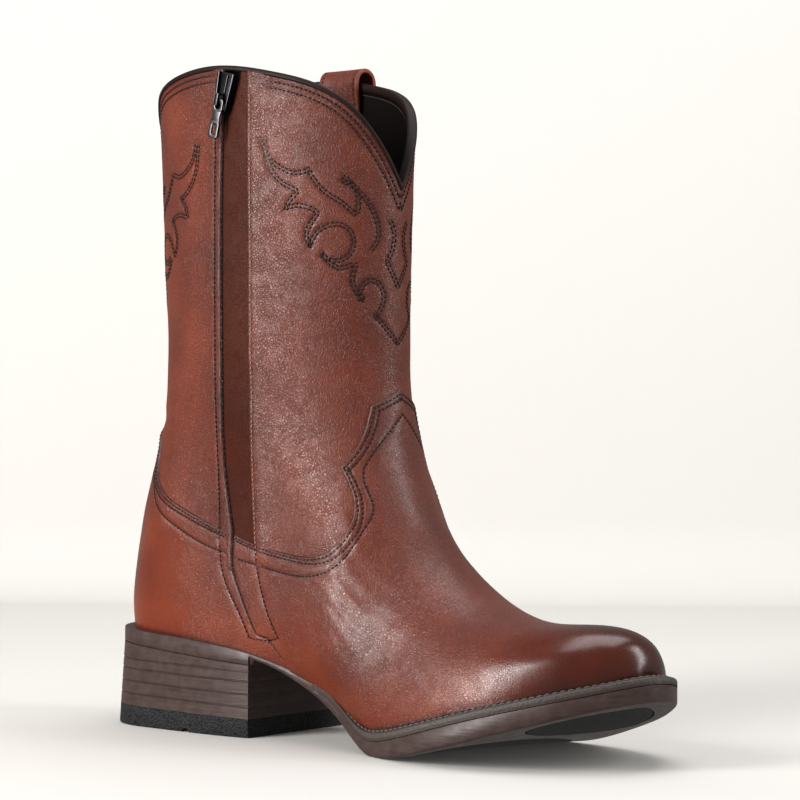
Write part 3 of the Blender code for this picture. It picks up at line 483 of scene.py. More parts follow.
def add_piece(name, points, faces, finish, body="boot", attributes=None):
    """A piece from points in mm, with its material, its body and values for each point."""
    mesh = bpy.data.meshes.new(name)
    placed = (lean(points) - ORIGIN) * MM
    mesh.from_pydata(placed.tolist(), [], [tuple(int(i) for i in f) for f in faces])
    for key, values in (attributes or {}).items():
        layer = mesh.attributes.new(key, "FLOAT", "POINT")
        layer.data.foreach_set("value", np.asarray(values, np.float32))
    mesh.materials.append(finish)
    mesh.shade_smooth()
    made = bpy.data.objects.new(name, mesh)
    bpy.context.scene.collection.objects.link(made)
    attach(made, body)
    return made


def inside(points, border):
    """Which points lie inside a closed border."""
    within = np.zeros(len(points), bool)
    x, y = points[:, 0], points[:, 1]
    for (x1, y1), (x2, y2) in zip(border, np.roll(border, -1, axis=0)):
        if y1 != y2:
            crosses = (y1 > y) != (y2 > y)
            within ^= crosses & (x < (x2 - x1) * (y - y1) / (y2 - y1) + x1)
    return within


def nearest(tree_points, points):
    """Distance from each point to the nearest of the tree's points."""
    tree = KDTree(len(tree_points))
    for i, p in enumerate(tree_points):
        tree.insert(p, i)
    tree.balance()
    return np.array([tree.find(p)[2] for p in points])


# a sheet's points are laid out flat, with turn times this girth; below the level UNEASED its
# border is left square, and its lowest edge reaches down to the sole
FLAT_GIRTH, UNEASED, FEATHER, FEATHER_DROP = 360.0, 3.0, 1.2, 0.9
# distances of the points beside a seam, of the rings inside a border, and the least gaps
BESIDE_SEAM = (-1.5, -0.75, 0.0, 0.75, 1.5)
BORDER_RINGS = (0.4, 0.9, 1.6)
SEAM_GAP, RING_GAP, BORDER_GAP = 0.9, 0.33, 1.9
# depth and half width of the valley at a seam, and of the swell beside it
SEAM_VALLEY, VALLEY_WIDTH, SEAM_SWELL, SWELL_AWAY, SWELL_WIDTH = 0.34, 0.8, 0.10, 2.2, 1.0


def leather_sheet(name, border, outer, finish, paint, seams=(), edge=1.0, pitch=1.9,
                  thickness=1.3, lift=None):
    """A pattern piece: its border and its rows of stitches as (turn, level) lines. The sheet
    is rounded down along its border and drawn in along each row of stitches."""
    flat = np.array([FLAT_GIRTH, 1.0])
    border = np.asarray(border, float)
    rim = border * flat
    low, high = rim.min(0), rim.max(0)
    across, up = np.meshgrid(np.arange(low[0], high[0], pitch), np.arange(low[1], high[1], pitch))
    across = across + (np.arange(across.shape[0])[:, None] % 2) * pitch / 2
    grid = np.stack([across.ravel(), up.ravel()], axis=1)
    grid = grid[inside(grid, rim)]
    rim_solid = on_grid(FACE, *border.T)
    row_points = np.zeros((0, 2))
    seam_solid = np.zeros((0, 3))
    for row in seams:
        row = np.asarray(row, float)
        seam_solid = np.r_[seam_solid, on_grid(FACE, *row.T)]
        for aside in BESIDE_SEAM:
            row_points = np.r_[row_points, shifted(row, aside)]
    if len(row_points):
        row_points = row_points[inside(row_points * flat, rim)]
        seam_gap = nearest(on_grid(FACE, *row_points.T), on_grid(FACE, *(grid / flat).T))
        grid = grid[seam_gap > SEAM_GAP]
    rings = np.concatenate([shifted(border, side * d) for side in (-1, 1) for d in BORDER_RINGS])
    rings = rings[inside(rings * flat, rim)]
    ring_gap = nearest(rim_solid, on_grid(FACE, *rings.T))
    rings = rings[ring_gap > RING_GAP]
    loose = np.r_[grid / flat, row_points]
    loose = loose[nearest(rim_solid, on_grid(FACE, *loose.T)) > BORDER_GAP]
    every = np.round(np.r_[border, rings, loose] * flat, 5)
    count = len(border)
    links = [(i, (i + 1) % count) for i in range(count)]
    corners, _, faces, *_ = delaunay_2d_cdt([Vector(p) for p in every], links, [], 1, 1e-4)
    places = np.array([tuple(c) for c in corners]) / flat
    solid = on_grid(FACE, *places.T)
    from_edge = nearest(np.r_[rim_solid, (rim_solid + np.roll(rim_solid, -1, axis=0)) / 2], solid)
    share = np.clip(from_edge / edge, 0, 1)
    share = np.where(places[:, 1] < UNEASED, 1.0, share)
    height = outer - thickness * (1 - np.sqrt(1 - (1 - share) ** 2))
    if lift is not None:
        height = height + lift(places, from_edge)
    from_seam = nearest(seam_solid, solid) if len(seam_solid) else np.full(len(places), 99.0)
    height = height - SEAM_VALLEY * np.exp(-(from_seam / VALLEY_WIDTH) ** 2)
    height = height + SEAM_SWELL * np.exp(-((from_seam - SWELL_AWAY) / SWELL_WIDTH) ** 2)
    points = on_last(places, height)
    points[:, 2] -= FEATHER_DROP * fade(places[:, 1], FEATHER, 0.0)
    a, b, c = (points[[f[i] for f in faces]] for i in range(3))
    out = on_grid(NORMAL, *places[[f[0] for f in faces]].T)
    turned = np.einsum("ij,ij->i", np.cross(b - a, c - a), out) < 0
    faces = [tuple(reversed(f)) if flip else tuple(f) for f, flip in zip(faces, turned)]
    values = {"from_edge": from_edge, "from_seam": from_seam}
    values.update(paint(places, points, from_edge, from_seam))
    return add_piece(name, points, faces, finish, attributes=values)


def quads(rows, columns, close_rows=False, close_columns=False, turned=False):
    """Quads between the points of a grid, numbered row by row; turned, they face back."""
    faces = []
    for i in range(rows if close_rows else rows - 1):
        for j in range(columns if close_columns else columns - 1):
            a, b, k = i * columns, (i + 1) % rows * columns, (j + 1) % columns
            faces.append((a + j, a + k, b + k, b + j) if turned else (a + j, b + j, b + k, a + k))
    return faces


def numbered(faces, first):
    return [tuple(first + i for i in face) for face in faces]


STITCH_PITCH, STITCH_LENGTH, THREAD_RADIUS, THREAD_SIDES = 2.15, 1.55, 0.27, 6
# share of the stitch's length, drop into the leather in radii, share of its thickness
STITCH = np.array((
    (-0.5, 1.7, 0.35), (-0.42, 0.5, 0.8), (-0.2, -0.3, 1.0), (0.2, -0.3, 1.0), (0.42, 0.5, 0.8),
    (0.5, 1.7, 0.35)))


def thread_row(line, height):
    """One stitch after another along a line on the last: points and faces."""
    solid = on_last(line, height)
    run = run_along(solid)
    starts = np.arange(STITCH_PITCH / 2, run[-1] - STITCH_PITCH / 2, STITCH_PITCH)
    at = (starts[:, None] + STITCH[:, 0] * STITCH_LENGTH).ravel()
    centre = at_lengths(at, run, solid)
    ahead = at_lengths(at + 0.3, run, solid) - centre
    ahead /= np.linalg.norm(ahead, axis=1)[:, None] + 1e-9
    out = at_lengths(at, run, on_grid(NORMAL, *line.T))
    out -= ahead * np.einsum("ij,ij->i", out, ahead)[:, None]
    out /= np.linalg.norm(out, axis=1)[:, None] + 1e-9
    aside = np.cross(ahead, out)
    drop, size = (np.tile(STITCH[:, column], len(starts))[:, None] for column in (1, 2))
    centre = centre - out * drop * THREAD_RADIUS
    angles = 2 * math.pi * np.arange(THREAD_SIDES) / THREAD_SIDES
    round_it = (aside[:, None] * np.cos(angles)[None, :, None] * 1.15
                + out[:, None] * np.sin(angles)[None, :, None])
    points = (centre[:, None] + round_it * THREAD_RADIUS * size[:, None]).reshape(-1, 3)
    count = len(STITCH) * THREAD_SIDES
    stitch = quads(len(STITCH), THREAD_SIDES, close_columns=True, turned=True)
    stitch += [tuple(reversed(range(THREAD_SIDES))), tuple(range(count - THREAD_SIDES, count))]
    faces = []
    for first in range(0, len(points), count):
        faces += numbered(stitch, first)
    return points, faces


def stitching(name, rows, height, finish):
    """A piece of thread made of several rows."""
    points, faces = np.zeros((0, 3)), []
    for row in rows:
        row_points, row_faces = thread_row(row, height)
        faces += numbered(row_faces, len(points))
        points = np.r_[points, row_points]
    add_piece(name, points, faces, finish)


# INSOLE AND LINING
# The footbed lies on the sole's seat. A thin near-black lining leather is stitched to the
# shaft's inner face just below the collar's edge.
WALL = 2.4
# share of the way from the back line to the front line, height of the collar's edge
COLLAR = np.array((
    (0.0, 268.0), (0.05, 273.0), (0.12, 285.7), (0.214, 293.8), (0.334, 297.6), (0.48, 298.6),
    (0.564, 296.9), (0.65, 293.9), (0.73, 290.3), (0.80, 285.2), (0.856, 278.6), (0.912, 268.0),
    (0.958, 256.7), (1.0, 245.0)))


def collar_level(turn):
    """The level of the collar's edge."""
    share = 1 - np.abs(1 - 2 * (np.asarray(turn, float) % 1.0))
    return level_at(turn, read(COLLAR, 1, share))


def new_group(name, inputs, outputs):
    """A node group with named inputs (name, kind, value) and outputs (name, kind)."""
    tree = bpy.data.node_groups.new(name, "ShaderNodeTree")
    for label, kind, value in inputs:
        socket = tree.interface.new_socket(label, in_out="INPUT", socket_type=kind)
        socket.default_value = value
    for label, kind in outputs:
        tree.interface.new_socket(label, in_out="OUTPUT", socket_type=kind)
    return tree, tree.nodes.new("NodeGroupInput"), tree.nodes.new("NodeGroupOutput")


def math_node(tree, operation, a, b=0.0, c=0.0, clamp=False):
    made = node(tree, "ShaderNodeMath", {0: a, 1: b, 2: c}, operation=operation, use_clamp=clamp)
    return made.outputs[0]


def ranged(tree, value, low, high, to_low=0.0, to_high=1.0):
    made = node(tree, "ShaderNodeMapRange", {"Value": value, "From Min": low, "From Max": high,
                                             "To Min": to_low, "To Max": to_high})
    return made.outputs["Result"]


def own_places(tree):
    """The places on an object, in its own frame."""
    return node(tree, "ShaderNodeTexCoord").outputs["Object"]


def add_bump(tree, shader, height, distance, strength=1.0):
    bump = node(tree, "ShaderNodeBump", {"Height": height, "Strength": strength, "Distance": distance})
    tree.links.new(bump.outputs["Normal"], shader.inputs["Normal"])


# pebbled grain of leather: closed cells with fine creases between them
grain_group, group_in, group_out = new_group(
    "leather grain",
    (("Cell Size", "NodeSocketFloat", 1.2), ("Roundness", "NodeSocketFloat", 0.5)),
    (("Height", "NodeSocketFloat"), ("Creases", "NodeSocketFloat"), ("Clouds", "NodeSocketFloat")))
here = own_places(grain_group)
drift = node(grain_group, "ShaderNodeTexNoise", {"Vector": here, "Scale": 420.0, "Detail": 2.0})
bent = node(grain_group, "ShaderNodeMixRGB", {"Fac": 0.0022, "Color1": here,
                                               "Color2": drift.outputs["Color"]}, blend_type="ADD")
stretch = node(grain_group, "ShaderNodeMapping", {"Vector": bent.outputs[0], "Scale": (1, 1, 1.35)})
density = math_node(grain_group, "DIVIDE", 1000.0, group_in.outputs["Cell Size"])
cells = node(grain_group, "ShaderNodeTexVoronoi", {"Vector": stretch.outputs[0], "Scale": density,
                                                    "Randomness": 1.0}, feature="DISTANCE_TO_EDGE")
pebble = node(grain_group, "ShaderNodeMapRange",
              {"Value": cells.outputs["Distance"], "From Min": 0.0, "From Max": 0.22},
              interpolation_type="SMOOTHSTEP")
fine = math_node(grain_group, "MULTIPLY", noise(grain_group, 1700.0, 3.0, Vector=here), 0.35)
clouds = noise(grain_group, 26.0, 4.0, Vector=here, Roughness=0.55)
patches = noise(grain_group, 150.0, 2.0, Vector=here)
swell = ranged(grain_group, patches, 0.35, 0.65, 0.45, 1.0)
height = math_node(grain_group, "MULTIPLY", pebble.outputs[0], swell)
height = math_node(grain_group, "MULTIPLY_ADD", height, group_in.outputs["Roundness"], fine)
grain_group.links.new(height, group_out.inputs["Height"])
grain_group.links.new(math_node(grain_group, "SUBTRACT", 1.0, pebble.outputs[0]),
                      group_out.inputs["Creases"])
grain_group.links.new(clouds, group_out.inputs["Clouds"])

# hand staining: the colour goes from tan over chestnut to dark brown by the wax that the
# piece took, with painted shade added over the foot's flex, is darker beside edges and
# stitches, and lighter where it was rubbed; painted shade also darkens the grain's creases
stain_and_shade_group, group_in, group_out = new_group(
    "hand stain and crease shade",
    (("Tan", "NodeSocketColor", (0.4, 0.15, 0.06, 1)),
     ("Chestnut", "NodeSocketColor", (0.2, 0.06, 0.03, 1)),
     ("Dark", "NodeSocketColor", (0.05, 0.012, 0.008, 1)), ("Wax", "NodeSocketFloat", 0.5),
     ("From Edge", "NodeSocketFloat", 9.0), ("From Seam", "NodeSocketFloat", 9.0),
     ("Creases", "NodeSocketFloat", 0.0), ("Clouds", "NodeSocketFloat", 0.5)),
    (("Color", "NodeSocketColor"), ("Dark Parts", "NodeSocketFloat")))
place = group_in.outputs
cloudy = ranged(stain_and_shade_group, place["Clouds"], 0.3, 0.7, -0.16, 0.16)
# the wax value also carries painted shade over the foot's flex
wax = math_node(stain_and_shade_group, "ADD", place["Wax"], cloudy, clamp=True)
low = mixed(stain_and_shade_group, ranged(stain_and_shade_group, wax, 0.0, 0.5), place["Tan"], place["Chestnut"])
high = mixed(stain_and_shade_group, ranged(stain_and_shade_group, wax, 0.5, 1.0), low, place["Dark"])
beside_edge = ranged(stain_and_shade_group, place["From Edge"], 0.1, 1.8, 0.75, 0.0)
beside_seam = ranged(stain_and_shade_group, place["From Seam"], 0.15, 0.9, 0.7, 0.0)
dark_parts = math_node(stain_and_shade_group, "MAXIMUM", beside_edge, beside_seam)
# painted shade: the colour is darkened in the grain's creases between the pebbles
painted_crease_shade = math_node(stain_and_shade_group, "MULTIPLY", place["Creases"], 0.42)
dark_parts = math_node(stain_and_shade_group, "MAXIMUM", dark_parts, painted_crease_shade)
stain_and_crease_shade = mixed(stain_and_shade_group, dark_parts, high, place["Dark"])
stain_and_shade_group.links.new(stain_and_crease_shade, group_out.inputs["Color"])
stain_and_shade_group.links.new(dark_parts, group_out.inputs["Dark Parts"])

TAN = (0.31, 0.062, 0.019)
CHESTNUT = (0.155, 0.024, 0.007)
DARK_BROWN = (0.022, 0.003, 0.001)
CREASE_MATT, GRAIN_DEPTH = 0.14, 0.0008


def leather(name, tan=TAN, chestnut=CHESTNUT, dark=DARK_BROWN, cell=1.2, grain=0.42,
            fine_grain=0.05, matt=0.36, gloss=0.26, coat=0.0, wax=None, shine=0.72):
    """Stained leather: where 'polish' is 1 the grain is pressed flat and waxed to a gloss."""
    made, tree, shader = new_material(name, chestnut, matt, specular=shine)
    grain_node = node(tree, "ShaderNodeGroup", node_tree=grain_group)
    grain_node.inputs["Cell Size"].default_value = cell
    values = {key: node(tree, "ShaderNodeAttribute", attribute_name=key).outputs["Fac"]
              for key in ("from_edge", "from_seam", "wax", "polish")}
    # this group's colour holds the stain and a painted shade in the grain's creases
    stain_and_shade = node(tree, "ShaderNodeGroup", node_tree=stain_and_shade_group)
    for label, value in (("Tan", tan), ("Chestnut", chestnut), ("Dark", dark)):
        stain_and_shade.inputs[label].default_value = (*value, 1)
    if wax is None:
        tree.links.new(values["wax"], stain_and_shade.inputs["Wax"])
    else:
        stain_and_shade.inputs["Wax"].default_value = wax
    tree.links.new(values["from_edge"], stain_and_shade.inputs["From Edge"])
    tree.links.new(values["from_seam"], stain_and_shade.inputs["From Seam"])
    tree.links.new(grain_node.outputs["Creases"], stain_and_shade.inputs["Creases"])
    tree.links.new(grain_node.outputs["Clouds"], stain_and_shade.inputs["Clouds"])
    tree.links.new(stain_and_shade.outputs["Color"], shader.inputs["Base Color"])
    rough = ranged(tree, values["polish"], 0.0, 1.0, matt, gloss)
    rough = math_node(tree, "MULTIPLY_ADD", grain_node.outputs["Creases"], CREASE_MATT, rough)
    tree.links.new(rough, shader.inputs["Roughness"])
    strength = ranged(tree, values["polish"], 0.0, 1.0, grain, fine_grain)
    raised = math_node(tree, "MULTIPLY", grain_node.outputs["Height"], strength)
    add_bump(tree, shader, raised, GRAIN_DEPTH)
    shader.inputs["Coat Weight"].default_value = coat
    shader.inputs["Coat Roughness"].default_value = 0.22
    shader.inputs["Coat IOR"].default_value = 1.45
    return made


def leather_values(count, wax, polish, from_seam=9.0):
    """What the leather's material reads at each point; 9 mm is well away from edge and seam."""
    values = {"from_edge": 9.0, "from_seam": from_seam, "wax": wax, "polish": polish}
    return {key: np.full(count, value, float) for key, value in values.items()}


lining_leather = leather("lining leather", (0.02, 0.014, 0.011), (0.012, 0.008, 0.007),
                         (0.004, 0.003, 0.003), 0.9, 0.2, 0.2, 0.6, 0.6, wax=0.5, shine=0.15)
LINING_COLUMNS, LINING_ROWS = 240, 90
LINING_FOOT, LINING_DROP, LINING_SEAM = 3.0, 2.2, 4.0
lining_turns = np.arange(LINING_COLUMNS) / LINING_COLUMNS
collar = collar_level(lining_turns)[None, :]
share = np.linspace(0.0, 1.0, LINING_ROWS)[:, None]
lining_levels = LINING_FOOT + (collar - LINING_DROP - LINING_FOOT) * share
lining_places = np.stack(np.broadcast_arrays(lining_turns[None, :], lining_levels), axis=2)
below = (collar - lining_levels).ravel()
add_piece("shaft_lining", on_last(lining_places, -WALL).reshape(-1, 3),
          quads(LINING_ROWS, LINING_COLUMNS, close_columns=True), lining_leather,
          attributes=leather_values(below.size, 0.5, 0.0, from_seam=np.abs(below - LINING_SEAM)))

footbed_cloth, tree, shader = new_material("footbed cloth", (0.035, 0.022, 0.015), 0.85)
weave = node(tree, "ShaderNodeTexWave", {"Vector": own_places(tree), "Scale": 380.0, "Distortion": 2.0})
tree.links.new(mixed(tree, weave.outputs["Fac"], (0.03, 0.018, 0.012), (0.06, 0.038, 0.026)),
               shader.inputs["Base Color"])
add_bump(tree, shader, weave.outputs["Fac"], 0.0003)
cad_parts["insole"].data.materials.clear()
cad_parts["insole"].data.materials.append(footbed_cloth)

# QUARTERS
# The shaft: a front and a back quarter of pebbled leather, joined by the zip on the inner
# side and by a closed seam on the outer side, and stitched with a flame pattern.
# z, x of the rear seam, x of the zip's closing line, x of the flap's front seam
ZIP_LINES = np.array((
    (46.0, 93.5, 98.6, 111.6), (56.0, 88.9, 94.0, 106.8), (67.0, 82.0, 88.8, 102.9),
    (77.0, 78.2, 85.1, 100.2), (88.0, 77.0, 85.0, 98.4), (99.0, 76.5, 83.4, 97.4),
    (120.0, 75.9, 80.0, 96.5), (150.0, 76.4, 80.4, 97.2), (182.0, 76.9, 81.0, 97.4),
    (240.0, 77.6, 81.6, 97.3), (300.0, 78.7, 83.8, 97.2)))
REAR_SEAM, CLOSING, FRONT_SEAM = 1, 2, 3
ZIP_SHUT = 0.12
SIDE_SEAM_X = 87.0


def zip_line(column, low, high, aside=0.0, count=40):
    """A line down the zip, from low to high z, moved in x."""
    return [spot(float(read(ZIP_LINES, column, z)[0]) + aside, z, INNER)
            for z in np.linspace(low, high, count)]


def steepness(slope):
    return np.minimum(np.sqrt(1 + slope ** 2), 1.9)


def collar_run(turn_from, turn_to, drop=0.0, count=90):
    """A line under the collar's edge, dropped further where the edge is steep."""
    turns = np.linspace(turn_from, turn_to, count)
    level = collar_level(turns)
    ahead = np.gradient(level, turns * GIRTH)
    return np.stack([turns, level - drop * steepness(ahead)], axis=1)


def hem_run(turn_from, turn_to, count=60):
    """The quarters' lower edge, hidden under vamp and counter."""
    turns = np.linspace(turn_from, turn_to, count)
    front = fade(np.abs(turns - 0.5), 0.16, 0.0)
    back = fade(np.abs((turns + 0.5) % 1.0 - 0.5), 0.14, 0.0)
    z = 74.0 + 44.0 * front ** 1.2 + 36.0 * back ** 1.2
    return np.stack([turns, level_at(turns, z)], axis=1)


def below_collar(places):
    """The part of a line up the shaft that ends just under the collar's edge."""
    places = np.array(places)
    return places[places[:, 1] < collar_level(places[:, 0]) - 0.3]


def closed(*runs):
    return smooth_line(runs, 1.0)[:-1]


front_edge = below_collar(zip_line(FRONT_SEAM, 74.0, 299.0, -0.9))
side_edge = below_collar([spot(SIDE_SEAM_X, z, OUTER) for z in np.linspace(74.0, 297.0, 40)])
rear_edge = below_collar(zip_line(CLOSING, 74.0, 299.0, -ZIP_SHUT))
front_border = closed(
    front_edge, collar_run(front_edge[-1, 0], side_edge[-1, 0]), side_edge[::-1],
    hem_run(side_edge[0, 0], front_edge[0, 0]))
back_border = closed(
    side_edge - (1, 0), collar_run(side_edge[-1, 0] - 1, rear_edge[-1, 0]), rear_edge[::-1],
    hem_run(rear_edge[0, 0], side_edge[0, 0] - 1))

# The flame pattern, sewn in one half and its mirror image: mm from the front line, height z.
# Each run is smooth, and the pattern turns sharply from one run to the next.
FLAME = (
    ((65.6, 265.5), (61.8, 257.7), (56.0, 253.2), (49.3, 251.0), (43.1, 252.4)),
    ((43.1, 252.4), (38.7, 245.8), (33.5, 241.2), (26.3, 236.6), (22.0, 232.6)),
    ((22.0, 232.6), (21.6, 237.5), (23.1, 243.0), (28.8, 248.2)),
    ((28.8, 248.2), (20.8, 243.0), (15.0, 236.4), (11.6, 229.5), (10.6, 222.0), (14.6, 215.0)),
)
FLAME_LOW = (
    ((65.6, 265.5), (61.8, 251.4), (56.2, 245.5), (49.0, 242.0)),
    ((49.0, 242.0), (52.7, 238.3), (54.6, 233.8)),
    ((54.6, 233.8), (47.0, 235.2), (39.4, 232.6)),
    ((39.4, 232.6), (43.3, 226.8), (44.3, 221.8), (41.8, 217.0)),
    ((41.8, 217.0), (38.3, 223.5), (31.3, 226.8), (25.2, 225.0), (23.2, 219.4), (25.5, 214.2),
     (30.5, 212.4), (37.0, 215.0)),
    ((37.0, 215.0), (32.9, 210.0), (28.7, 207.8), (21.8, 209.9)),
    ((21.8, 209.9), (23.4, 203.5), (21.4, 198.0), (17.6, 193.6)),
    ((17.6, 193.6), (18.2, 198.6), (14.8, 202.4), (10.3, 200.4), (8.8, 194.8), (12.9, 187.4)),
    ((12.9, 187.4), (6.6, 181.2), (0.0, 174.6)),
)
FLAME_HEART = (
    ((6.4, 229.2), (4.0, 224.0), (4.6, 217.5), (7.6, 211.4)),
    ((7.6, 211.4), (4.0, 205.5), (0.0, 199.4)),
)
FLAME_GAP = 1.5


def flame_rows(mirror, from_back):
    """The flame's lines on one half of a quarter, each sewn twice."""
    rows = []
    for motif in (FLAME, FLAME_LOW, FLAME_HEART):
        runs = []
        for run in motif:
            if from_back:
                places = [spot_from(0.0, across, z) for across, z in run]
                runs.append([(turn * mirror, level) for turn, level in places])
            else:
                runs.append([spot_from(0.5, -across * mirror, z) for across, z in run])
        line = smooth_line(runs, 0.7)
        keep = np.linalg.norm(np.gradient(line, axis=0) * (GIRTH, 1), axis=1) > 1e-6
        outward = -1 if motif is FLAME else 1
        rows += [line, shifted(line[keep], FLAME_GAP * mirror * outward)]
    return rows


flame_front = flame_rows(1, False) + flame_rows(-1, False)
flame_back = flame_rows(1, True) + flame_rows(-1, True)


def paint_shaft(places, points, from_edge, from_seam):
    """Wax and polish of the quarters: rubbed tan in the middle, darker toward their edges."""
    wax = 0.47 + 0.18 * np.exp(-from_edge / 9.0)
    return {"wax": wax, "polish": np.full(len(wax), 0.15)}


def toward_zip(seam_x, reach, rise):
    """The quarter's folded edge stands up beside the zip."""
    def lift(places, from_edge):
        solid = on_grid(FACE, *places.T)
        gap = np.abs(solid[:, 0] - seam_x(solid[:, 2]))
        return rise * np.where(solid[:, 1] < 0, np.exp(-(gap / reach) ** 2), 0.0)
    return lift


shaft_leather = leather("pebbled shaft leather")
shaft_thread = new_material("brown thread", (0.02, 0.006, 0.004), 0.5)[0]
tan_thread = new_material("tan thread", (0.36, 0.19, 0.12), 0.5)[0]
COLLAR_ROWS = (3.4, 6.2)

front_rows = [collar_run(front_edge[-1, 0] + 0.008, side_edge[-1, 0] - 0.004, drop, 260)
              for drop in COLLAR_ROWS]
back_rows = [collar_run(side_edge[-1, 0] - 1 + 0.004, rear_edge[-1, 0] - 0.018, drop, 260)
             for drop in COLLAR_ROWS]
front_seam_row = smooth_line([zip_line(FRONT_SEAM, 80.0, 288.0, 0.8)])
rear_seam_row = smooth_line([zip_line(REAR_SEAM, 88.0, 290.0, -0.4)])
side_rows = [smooth_line([[spot(SIDE_SEAM_X + aside, z, OUTER) for z in np.linspace(84, 252, 30)]])
             for aside in (-5.2, 5.2)]

front_quarter = leather_sheet(
    "front_quarter", front_border, 0.35, shaft_leather, paint_shaft,
    seams=flame_front + front_rows + [front_seam_row, side_rows[1]], edge=1.3, thickness=1.0,
    lift=toward_zip(lambda z: read(ZIP_LINES, FRONT_SEAM, z), 9.0, 1.25))
back_quarter = leather_sheet(
    "back_quarter", back_border, 0.35, shaft_leather, paint_shaft,
    seams=flame_back + back_rows + [rear_seam_row, side_rows[0]], edge=1.3, thickness=1.0,
    lift=toward_zip(lambda z: read(ZIP_LINES, CLOSING, z), 8.0, 1.25))
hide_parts("upper")
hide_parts("upper", "zip_band")
stitching("flame_stitches_front", flame_front, 0.22, shaft_thread)
stitching("flame_stitches_back", flame_back, 0.22, shaft_thread)
stitching("collar_stitches_front", front_rows, 0.3, shaft_thread)
stitching("collar_stitches_back", back_rows, 0.3, shaft_thread)
stitching("front_seam_stitches", [front_seam_row], 1.5, tan_thread)
stitching("rear_seam_stitches", [rear_seam_row], 1.2, shaft_thread)
stitching("side_seam_stitches", side_rows, 0.3, shaft_thread)

# COUNTER
# Smooth leather round the heel, laid over the back quarter's hem and sewn with three rows.
# x, z of the outline seen from the side, from the zip to the back line
COUNTER_EDGE = ((85.0, 90.0), (77.1, 92.5), (65.7, 96.4), (53.9, 100.7), (42.0, 105.8),
                (33.5, 111.8), (28.5, 119.0), (26.4, 127.0), (24.2, 134.5), (21.4, 139.6))
COUNTER_THIRD_ROW = ((85.5, 81.6), (69.6, 84.6), (53.2, 90.6), (41.0, 96.4), (32.2, 103.6),
                     (27.6, 111.0))
COUNTER_PEAK, COUNTER_THIRD_PEAK = 141.5, 122.0
SIDE_SEAM = ((93.0, 88.0), (96.0, 76.0), (101.0, 62.0), (107.5, 48.0), (112.3, 36.0))
LOWER_SEAM = ((104.6, 45.4), (108.6, 40.5), (112.3, 34.6))
SEAM_FOOT_X = 115.0
# distances of the two rows beside an overlay's edge
EDGE_ROWS = (1.8, 3.9)


def side_run(table, side):
    return [spot(x, z, side) for x, z in table]


def mirrored(run):
    return [(1 - turn, level) for turn, level in run]


def foot_run(turn_from, turn_to, count=120):
    """The feather line, where the upper meets the sole."""
    return np.stack([np.linspace(turn_from, turn_to, count), np.zeros(count)], axis=1)


def seam_foot(side):
    """Where the seam between counter and vamp reaches the sole."""
    turns = (side_columns if side == INNER else AROUND - side_columns) / AROUND
    return float(np.interp(SEAM_FOOT_X, on_grid(FACE, turns, 0 * turns)[:, 0], turns))


counter_top = side_run(COUNTER_EDGE, INNER)
back_peak = (0.0, float(level_at(0.0, COUNTER_PEAK)))
lower_seam = side_run(LOWER_SEAM, INNER) + [(seam_foot(INNER), 0.0)]
flap_foot = zip_line(CLOSING, 46.5, 90.0, 0.0, 20)
outer_seam = side_run(SIDE_SEAM, OUTER) + [(seam_foot(OUTER), 0.0)]
outer_top = [(-turn, level) for turn, level in counter_top[1:]]
outer_seam_back = [(turn - 1, level) for turn, level in outer_seam]
counter_border = closed(
    counter_top + [back_peak], [back_peak] + outer_top[::-1],
    [outer_top[0], outer_seam_back[0]], outer_seam_back,
    foot_run(outer_seam_back[-1][0], lower_seam[-1][0]), lower_seam[::-1],
    [lower_seam[0], flap_foot[0]], flap_foot)


def counter_rows(side):
    """The rows beside the counter's edge and the third inside them, on the inner side (1) or
    its mirror image (-1)."""
    third = side_run(COUNTER_THIRD_ROW, INNER) + [(0.0, float(level_at(0.0, COUNTER_THIRD_PEAK)))]
    edge, third = (smooth_line([[(turn * side, level) for turn, level in run]])
                   for run in (counter_top + [back_peak], third))
    return [shifted(edge, side * away) for away in EDGE_ROWS] + [third]


heel_rows = counter_rows(1) + counter_rows(-1)
rear_foot_row = smooth_line([zip_line(REAR_SEAM, 45.0, 88.0, -0.2)])
foot_cross_row = smooth_line([side_run(((93.4, 45.2), (102.5, 44.6), (111.4, 46.0)), INNER)])


def paint_foot(places, points, from_edge, from_seam):
    """Wax and polish of vamp and counter: glossy and dark at the toe, tan beside the sole, and darker
    over the flex as painted shade of the hollow there.
    """
    x, y, z = points.T
    toe = fade(x, 205.0, 267.0)
    toe = toe * toe * (3 - 2 * toe)
    heel = fade(x, 75.0, 35.0) * fade(z, 110.0, 85.0)
    above_sole = places[:, 1]
    welt_tan = np.exp(-((above_sole - 6.0) / 9.0) ** 2) * (1 - toe)
    # painted shade: the broad hollow over the flex is darkened in the colour through the wax value
    flex_shade = np.exp(-((x - 178) / 26.0) ** 2 - ((z - 58) / 22.0) ** 2)
    wax = 0.46 + 0.34 * toe + 0.16 * flex_shade - 0.22 * welt_tan - 0.05 * heel
    wax = wax + 0.12 * np.exp(-from_edge / 7.0) * (above_sole > 12)
    wax = np.maximum(wax, 0.75 * np.exp(-above_sole / 1.6))
    polish = np.clip(np.maximum(toe * 1.2, heel * 1.1), 0.12, 1)
    return {"wax": wax, "polish": polish,
            "from_edge": np.where(above_sole < UNEASED, 0.8 + above_sole, from_edge)}


foot_leather = leather("smooth foot leather", cell=1.15, grain=0.34, fine_grain=0.03,
                       matt=0.34, gloss=0.2, coat=0.15)
counter = leather_sheet("heel_counter", counter_border, 1.35, foot_leather, paint_foot,
                        seams=heel_rows + [rear_foot_row], edge=1.2, thickness=1.35)
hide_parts("counter")
stitching("counter_stitches", heel_rows, 1.2, shaft_thread)
stitching("rear_foot_stitches", [rear_foot_row], 1.25, shaft_thread)

